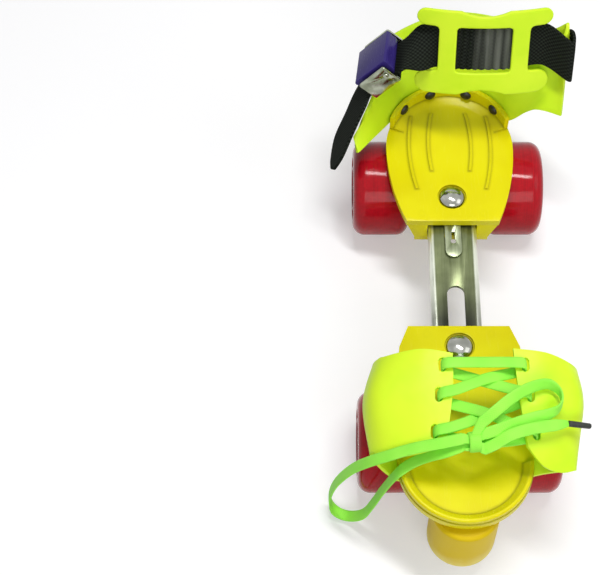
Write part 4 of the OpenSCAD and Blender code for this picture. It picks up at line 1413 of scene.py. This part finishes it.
@dataclass
class Vamp:
    """Two soft flaps that bow out from under the toe plate and close over the toes.

    Each pair of slots is given by its left x, right x, y and height.
    """

    base: Point = (0, -81, 61.5)
    tab_z: float = -5.7
    tab_x: float = 21.2
    sheet: float = 1.8
    edge: float = 0.5
    steps: int = 10
    slot: tuple[float, float] = (4.0, 7.2)
    slot_depth: float = 8.0
    slots: tuple = ((-13, 29, 10, 35.6), (-15, 31, -5, 31.6), (-17.5, 33.5, -23, 26.6))

    def sections(self, hand: str) -> np.ndarray:
        """Sections of a flap.

        Args:
            hand: left or right.

        Returns:
            Rear, middle and front section, each from the tab to the laced edge.
        """
        z, x = self.tab_z, self.tab_x
        if hand == "left":
            return np.array([
                [[-x, 36.5, z], [-32, 36.5, z], [-36, 36, z + 0.5], [-41.5, 31, 4],
                 [-46, 22, 13], [-42, 19, 26], [-24, 19, 35.5], [-7.5, 16, 36.8]],
                [[-x, 2, z], [-33, 2, z], [-37, 2, z + 0.5], [-47, 1, 3],
                 [-51.6, 0, 12], [-46, -2, 25], [-26, -4, 31], [-8, -4, 32]],
                [[-x, -35, z], [-34, -35, z], [-38, -33, z + 0.5], [-45, -29, 1],
                 [-48.3, -25.5, 8], [-41, -31, 14], [-27, -33, 21.5], [-12, -30, 26]]])
        return np.array([
            [[x, 36.5, z], [32, 36.5, z], [36, 35, z + 0.5], [48, 25, 4],
             [57, 16, 13], [53.5, 14, 27], [40, 17, 35], [23, 18.5, 37]],
            [[x, 2, z], [33, 2, z], [37, 2, z + 0.5], [50, -2, 3],
             [58, -6, 12], [56, -6, 24], [42, -5, 30], [25, -4, 32]],
            [[x, -33, z], [32, -33, z], [40, -31.5, z + 0.5], [50, -33, 1.5],
             [54, -35, 7], [46, -38, 11], [36.6, -37.5, 18], [28.5, -30, 24.5]]])

    def cutter(self, name: str, x: float, y: float, z: float) -> bpy.types.Object:
        """A round-ended post that cuts one slot.

        Args:
            name: its name.
            x: place of the slot from the base.
            y: the same.
            z: the same.

        Returns:
            The post.
        """
        r = self.slot[0] / 2
        straight = self.slot[1] / 2 - r
        turn = np.radians(np.arange(0, 360, 15))
        ring = [(r * math.cos(a), r * math.sin(a) + math.copysign(straight, math.sin(a + 1e-6))) for a in turn]
        levels = (-self.slot_depth, self.slot_depth)
        rings = np.array([[(x + u, y + v, z + h) for u, v in ring] for h in levels])
        return tube_piece(name, rings + np.array(self.base), np.zeros(len(ring)))

    def build(self) -> None:
        """Makes, slots and dresses both flaps."""
        for column, hand in enumerate(("left", "right")):
            lines = np.stack([curve(s, self.steps) for s in self.sections(hand)], 0)
            grid = np.swapaxes(curve(lines, self.steps), 0, 1) + np.array(self.base)
            obj = sheet_piece(f"vamp_{hand}_sheet", grid)
            cutters = [self.cutter(f"slot_{hand}_{k}", s[column], s[2], s[3]) for k, s in enumerate(self.slots)]
            solid_sheet(obj, self.sheet, self.edge, cutters=cutters)
            fit(obj, LIME, Body.TOE, f"vamp_{hand}")
            declare_sheet(obj, grid, "toe_plate")


@dataclass
class Lace:
    """Flat lace through the slots, tied in a bow: strands, knot, two loops and two tipped ends."""

    width: float = 6.0
    thick: float = 1.4
    steps: int = 12
    spacing: float = 0.9
    middle: float = 8.0
    cross_reach: float = 9.0
    cross_from: float = -72.5
    strand: tuple = (
        (8, -71, 100.2), (20, -71, 100.2), (27, -71, 99.6), (29, -71, 96.8), (27.5, -71.8, 93),
        (22, -73.5, 92.8), (8, -79, 97.2), (-6, -84, 96), (-13, -85.6, 95.6), (-15, -86, 92.6),
        (-13.5, -86.8, 89), (-8, -89, 89.2), (8, -96, 93.4), (24, -102.5, 91.7), (31.5, -103.8, 90.6),
        (33.5, -104, 87.4), (32, -104.6, 84.2))
    tails: tuple = (
        ((-8, -107, 87), (-4.6, -109, 89)),
        ((24, -107, 85.6), (14, -109, 87.4), (6, -109.5, 88.6)))
    knot: Point = (1, -111, 92)
    wrap: tuple[float, float] = (4.3, 4.2)
    wrap_growth: float = 0.5
    wrap_slant: float = 1.1
    loop_left: tuple = (
        (-4.2, -110.5, 94.6), (-14, -111.8, 92.4), (-25, -112.3, 88.5), (-32.8, -112.6, 84.5),
        (-40.2, -113.1, 80), (-49.2, -112.6, 72), (-57.4, -110.3, 58), (-64.4, -108.7, 40),
        (-67.9, -107.1, 22), (-68.4, -107.7, 10), (-65.3, -111.2, 4.6), (-58.4, -114, 4.4),
        (-51.1, -117.3, 15), (-46.3, -117.4, 30), (-41.7, -116.6, 46), (-35.6, -116.8, 66),
        (-28.5, -114.2, 73), (-20.3, -113.8, 80.5), (-12.1, -114.1, 86.5), (-4.6, -112.5, 89.8))
    left_across: Point = (0, 1, 0.2)
    loop_right: tuple = (
        (5, -104.1, 99.2), (11.7, -98.8, 100.8), (20.9, -91.4, 101.8), (29.8, -85.9, 101.2),
        (38.5, -82.9, 99.6), (44.1, -85.5, 98), (45.9, -90, 97), (44.2, -94.5, 96), (39.1, -97.4, 95.2),
        (32, -99.4, 95.4), (23.4, -102.3, 95.8), (14.2, -106, 96), (6.4, -108.4, 95.4))
    right_across: tuple = (
        (0, 1, 0.6), (0, 1, 0.6), (0, 1, 0.6), (0, 0.9, 0.7), (0, 0.6, 0.9), (0, 0.3, 1), (0, 0.2, 1),
        (0, 0.3, 1), (0, 0.7, 0.8), (0, 1, 0.6), (0, 1, 0.6), (0, 1, 0.6), (0, 1, 0.6))
    end_long: tuple = (
        (6.6, -114.4, 90.8), (12, -112.8, 93.2), (18.8, -109.7, 96.6), (28.7, -106.9, 97.8),
        (37.9, -104.6, 96.4), (44.4, -102.6, 94), (48.7, -101, 91.8))
    tip_long: Point = (63.7, -99.8, 85.4)
    end_short: tuple = (
        (6, -108.5, 86.4), (14, -107.7, 85.2), (24, -105.7, 83.4), (33, -103, 80), (41, -99, 77))
    tip_short: Point = (50, -94, 74.5)
    end_across: Point = (0, 1, 0.3)
    narrow: float = 0.48
    narrow_over: float = 9.0
    tip_radius: float = 1.6
    tip_profile: tuple = (
        (0.3, 0.9), (0.5, 1.0), (1.5, 1.0), (1.8, 0.92), (2.2, 1.0), (12.3, 0.92), (13.0, 0.8), (13.3, 0.5))

    def ribbon(
        self, name: str, line: np.ndarray, across: Point, width: Optional[np.ndarray] = None
    ) -> bpy.types.Object:
        """Sweeps the lace's flat section along a line.

        Args:
            name: name of the piece.
            line: points in millimetres.
            across: direction that the lace lies across, or one at each point.
            width: factor on the width at each point.

        Returns:
            The piece.
        """
        d = unit(np.gradient(line, axis=0))
        s = np.broadcast_to(np.asarray(across, float), line.shape)
        s = unit(s - d * (d * s).sum(1)[:, None])
        u = np.cross(d, s)
        wide = np.ones(len(line)) if width is None else width
        turn = np.radians(np.arange(0, 360, 22.5) + 11.25)
        x = np.sign(np.cos(turn)) * np.abs(np.cos(turn)) ** 0.6 * self.width / 2
        z = np.sign(np.sin(turn)) * np.abs(np.sin(turn)) ** 0.8 * self.thick / 2
        rings = (line[:, None] + s[:, None] * (x[None] * wide[:, None])[..., None]
                 + u[:, None] * np.broadcast_to(z[None], (len(line), len(z)))[..., None])
        return shade(tube_piece(name, rings, x), SHEET_SMOOTH)

    def laced(self) -> None:
        """The two strands through the slots, as one piece."""
        def under(x: float, y: float, z: float) -> Point:
            """The left strand's point: mirrored, and below the right strand where they cross."""
            crossing = math.exp(-(((x - self.middle) / self.cross_reach) ** 2)) if y < self.cross_from else 0
            return 2 * self.middle - x, y, z - 2 * self.thick * crossing

        right = [*self.strand, *self.tails[1]]
        left = [*(under(*point) for point in self.strand), *self.tails[0]]
        strands = self.ribbon("laced_strands", even(curve(right, self.steps), self.spacing), (0, 1, 0))
        join(strands, self.ribbon("laced_strand_left", even(curve(left, self.steps), self.spacing), (0, -1, 0)))
        fit(strands, GREEN_LACE, Body.TOE, "lacing")

    def tied(self) -> None:
        """The knot: the ends of the loops and lengths run into it, and the lace is wound once over them."""
        knot = np.array(self.knot, float)
        turn = np.radians(np.linspace(-170, 190, 73))
        growth = self.wrap_growth * turn / math.pi
        ring = np.c_[self.wrap_slant * np.sin(turn * 0.5),
                     (self.wrap[0] + growth) * np.cos(turn), (self.wrap[1] + growth) * np.sin(turn)]
        wrap = self.ribbon("lace_knot_wrap", ring + knot, (1, 0.08, 0.15))
        left, right = self.loop_left, self.loop_right
        stubs = (
            (left[0], left[1], 1.8, self.left_across),
            (left[-1], left[-2], -1.6, self.left_across),
            (right[0], right[1], 2.6, self.right_across[0]),
            (right[-1], right[-2], 1.2, self.right_across[-1]),
            (self.end_long[0], self.end_long[1], -0.2, self.end_across),
            (self.end_short[0], self.end_short[1], -2.4, self.end_across))
        for k, (start, after, level, across) in enumerate(stubs):
            start, after = np.array(start, float), np.array(after, float)
            line = np.array([start + (after - start) * 0.12, start, knot + (0, 0, level)])
            line = even(curve(line, 8), 0.8)
            share = 0.72 + 0.28 * np.linspace(1, 0, len(line)) ** 2
            join(wrap, self.ribbon(f"lace_knot_stub_{k}", line, across, share))
        fit(wrap, GREEN_LACE, Body.TOE, "lace_knot")

    def tip(self, name: str, start: Point, toward: Point) -> bpy.types.Object:
        """A pressed tip on a free end.

        Args:
            name: its name.
            start: end of the lace.
            toward: point that the tip aims at.

        Returns:
            The tip.
        """
        start = np.array(start, float)
        d = unit(np.array(toward, float) - start)
        s = unit(np.cross(d, (0, 0, 1)))
        u = np.cross(s, d)
        turn = np.radians(np.arange(0, 360, 20))
        r = self.tip_radius
        rings = np.array([
            [start + d * at + (s * math.cos(t) * r + u * math.sin(t) * r) * share for t in turn]
            for at, share in self.tip_profile])
        obj = shade(tube_piece(name, rings, turn), 50)
        return fit(obj, TIP, Body.TOE, "aglets")

    def free(self, name: str, route: tuple, across: Point, node: str, end: str, tip: Sequence = ()) -> None:
        """A free length of the lace, narrower towards its tip.

        Args:
            name: name of the piece.
            route: its points.
            across: direction that it lies across, or one at each point.
            node: the node that it stands for.
            end: what its far end is; not used.
            tip: the pieces on it.
        """
        route = np.array(route, float)
        band = np.stack([np.broadcast_to(np.array(across, float), route.shape), route], 1)
        band = even(curve(band, self.steps), self.spacing)
        line = band[:, 1]
        at = run(line)
        share = 1 - self.narrow * np.clip(1 - (at[-1] - at) / self.narrow_over, 0, 1) ** 1.5 * bool(tip)
        obj = self.ribbon(name, line, band[:, 0], share)
        fit(obj, GREEN_LACE, Body.TOE, node)

    def build(self) -> None:
        """Makes and dresses the whole lace."""
        self.laced()
        self.tied()
        self.free("bow_left_lace", self.loop_left, self.left_across, "bow_loop_left", "object")
        self.free("bow_right_lace", self.loop_right, self.right_across, "bow_loop_right", "object")
        tip = self.tip("lace_tip_long", self.end_long[-1], self.tip_long)
        self.free("long_lace_end", self.end_long, self.end_across, "lace_end_long", "fitting", [tip])
        tip = self.tip("lace_tip_short", self.end_short[-1], self.tip_short)
        self.free("short_lace_end", self.end_short, self.end_across, "lace_end_short", "fitting", [tip])


@dataclass
class Heads:
    """Round heads set on points by geometry nodes, each along its own direction."""

    name: str
    diameter: float
    height: float
    finish: Finish

    def tree(self) -> bpy.types.NodeTree:
        """Builds the nodes: a dome set on each point and turned along its aim.

        Returns:
            The node tree.
        """
        tree = bpy.data.node_groups.new(f"{self.name}_heads", "GeometryNodeTree")
        for label, way, kind in (
            ("Geometry", "INPUT", "Geometry"), ("Head Diameter", "INPUT", "Float"),
            ("Head Height", "INPUT", "Float"), ("Finish", "INPUT", "Material"),
            ("Geometry", "OUTPUT", "Geometry"),
        ):
            tree.interface.new_socket(label, in_out=way, socket_type=f"NodeSocket{kind}")
        bench = Bench(tree)
        given = bench.make("NodeGroupInput")
        half = Signal(bench, given.outputs["Head Diameter"]) * 0.5
        ball = bench.make("GeometryNodeMeshUVSphere", None, {"Segments": 32, "Rings": 16, "Radius": 1.0})
        size = bench.make("ShaderNodeCombineXYZ", None, {
            "X": half, "Y": half, "Z": given.outputs["Head Height"]})
        dome = bench.make("GeometryNodeTransform", None, {
            "Geometry": ball.outputs["Mesh"], "Scale": size.outputs[0]})
        aim = bench.make("GeometryNodeInputNamedAttribute", {"data_type": "FLOAT_VECTOR"}, {"Name": "aim"})
        turn = bench.make("FunctionNodeAlignRotationToVector", {"axis": "Z"}, {
            "Vector": aim.outputs["Attribute"]})
        put = bench.make("GeometryNodeInstanceOnPoints", None, {
            "Points": given.outputs["Geometry"], "Instance": dome.outputs["Geometry"],
            "Rotation": turn.outputs["Rotation"]})
        real = bench.make("GeometryNodeRealizeInstances", None, {"Geometry": put.outputs["Instances"]})
        smooth = bench.make("GeometryNodeSetShadeSmooth", None, {"Geometry": real.outputs["Geometry"]})
        coat = bench.make("GeometryNodeSetMaterial", None, {
            "Geometry": smooth.outputs[0], "Material": given.outputs["Finish"]})
        bench.make("NodeGroupOutput", None, {0: coat.outputs[0]})
        return tree

    def build(self, points: Sequence[Point], aims: Sequence[Point], slot: str, body: Body, node: str) -> None:
        """Sets the heads and dresses them.

        Args:
            points: seats of the heads in millimetres.
            aims: their directions.
            slot: a material slot; not used.
            body: the body that they ride on.
            node: the node that they stand for.
        """
        mesh = bpy.data.meshes.new(self.name)
        mesh.from_pydata([tuple(p) for p in np.array(points, float) * MM], [], [])
        layer = mesh.attributes.new("aim", "FLOAT_VECTOR", "POINT")
        layer.data.foreach_set("vector", np.asarray(aims, np.float32).ravel())
        obj = placed(self.name, mesh)
        modifier = obj.modifiers.new("Heads", "NODES")
        modifier.node_group = self.tree()
        values = {"Head Diameter": self.diameter * MM, "Head Height": self.height * MM,
                  "Finish": self.finish.material()}
        for item in modifier.node_group.interface.items_tree:
            if item.in_out == "INPUT" and item.name in values:
                modifier[item.identifier] = values[item.name]
        fit(settle(obj), self.finish, body, node)


@dataclass
class Chassis:
    """Plates, trucks, slotted bar, toe stop and all the hardware."""

    heel: float = 87.0
    plate_top: float = 61.5
    plate_edge: float = 0.5
    corner_shade_depth: float = 2.0
    truck_edge: float = 0.6
    bar_edge: float = 0.25
    tongue_edge: float = 0.2
    stop_edge: float = 0.6
    rim: float = 35.75
    rim_wall: float = 2.6
    cup_out: float = 39.05
    rivet_head: float = 6.4
    heel_rivet_turns: tuple = (-50, -18, 18, 50)
    heel_rivet_up: float = 5.5
    heel_rivet_sunk: float = 0.3
    heel_rivet_dome: float = 1.7
    vamp_rivet_x: tuple = (-25, 25)
    vamp_rivet_y: tuple = (-50, -107)
    vamp_rivet_drop: float = 6.9
    vamp_rivet_dome: float = 1.6
    rear_bolt: float = 53.0
    front_bolt: float = -41.0
    bolt_head: float = 14.5
    bolt_dome: float = 4.0
    bolt_edge: float = 0.25
    dome_over: tuple[float, float] = (0.1, 0.05)
    recess: float = 1.5
    hardware: tuple = ("screws", "axle", "sleeves", "washer", "bolt_nut", "stop_bolt", "bearings")

    def rivets(self) -> None:
        """Domed rivet heads inside and outside the heel rim, and under the vamp's tabs."""
        points, aims = [], []
        for a in np.radians(self.heel_rivet_turns):
            out = np.array([math.sin(a), math.cos(a), 0])
            seat = np.array([0, self.heel, self.plate_top + self.heel_rivet_up])
            inner = self.rim - self.rim_wall - self.heel_rivet_sunk
            points += [seat + out * inner, seat + out * self.cup_out]
            aims += [-out, out]
        heads = Heads("heel_rivet_heads", self.rivet_head, self.heel_rivet_dome, RIVET)
        heads.build(points, aims, "black_rivet", Body.HEEL, "heel_rivets")
        seat = self.plate_top - self.vamp_rivet_drop
        points = [(x, y, seat) for x in self.vamp_rivet_x for y in self.vamp_rivet_y]
        heads = Heads("vamp_rivet_heads", self.rivet_head, self.vamp_rivet_dome, RIVET)
        heads.build(points, [(0, 0, -1)] * len(points), "black_rivet", Body.TOE, "vamp_rivets")

    def frames(self) -> None:
        """The plates with their trucks and clamp bolts."""
        for end, plate, body, at in (("rear", "heel_plate", Body.HEEL, self.rear_bolt),
                                     ("front", "toe_plate", Body.TOE, self.front_bolt)):
            # painted shade goes into the plates' inner corners above this depth
            moulding = paint_corner_shade(softened(plate, self.plate_edge, 3), plate, self.plate_top - self.corner_shade_depth)
            fit(moulding, YELLOW, body, plate)
            fit(softened(f"{end}_truck", self.truck_edge), YELLOW, body, f"{end}_truck")
            bolt = f"{end}_bolt"
            fit(softened(bolt, self.bolt_edge), POLISHED, body, bolt)
            wider, higher = self.dome_over
            dome = Heads(f"{bolt}_dome", self.bolt_head + wider, self.bolt_dome + higher, POLISHED)
            dome.build([(0, at, self.plate_top - self.recess)], [(0, 0, 1)], "polished_steel", body, bolt)

    def build(self) -> None:
        """Dresses the frame's rigid pieces."""
        self.frames()
        fit(softened("slide_bar", self.bar_edge), BAR_PLATE, Body.BAR, "slide_bar")
        fit(softened("guide_tongue", self.tongue_edge), TONGUE, Body.HEEL, "guide_tongue")
        fit(softened("toe_stop", self.stop_edge, 3), RUBBER, Body.TOE, "toe_stop")
        self.rivets()
        for name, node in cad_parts.items():
            if any(word in name for word in self.hardware):
                node.data.materials.clear()
                node.data.materials.append(ZINC.material())


def main() -> None:
    """Builds the skate piece by piece."""
    logging.basicConfig(level=logging.INFO, format="%(name)s %(message)s")
    Studio().build()
    Lace().build()
    Vamp().build()
    cup, pad, buckle = HeelCup(), InstepPad(), Buckle()
    cup.build()
    pad.build()
    buckle.build()
    AnkleStrap(cup, pad, buckle).build()
    Wheels().build()
    Chassis().build()


if __name__ == "__main__":
    main()
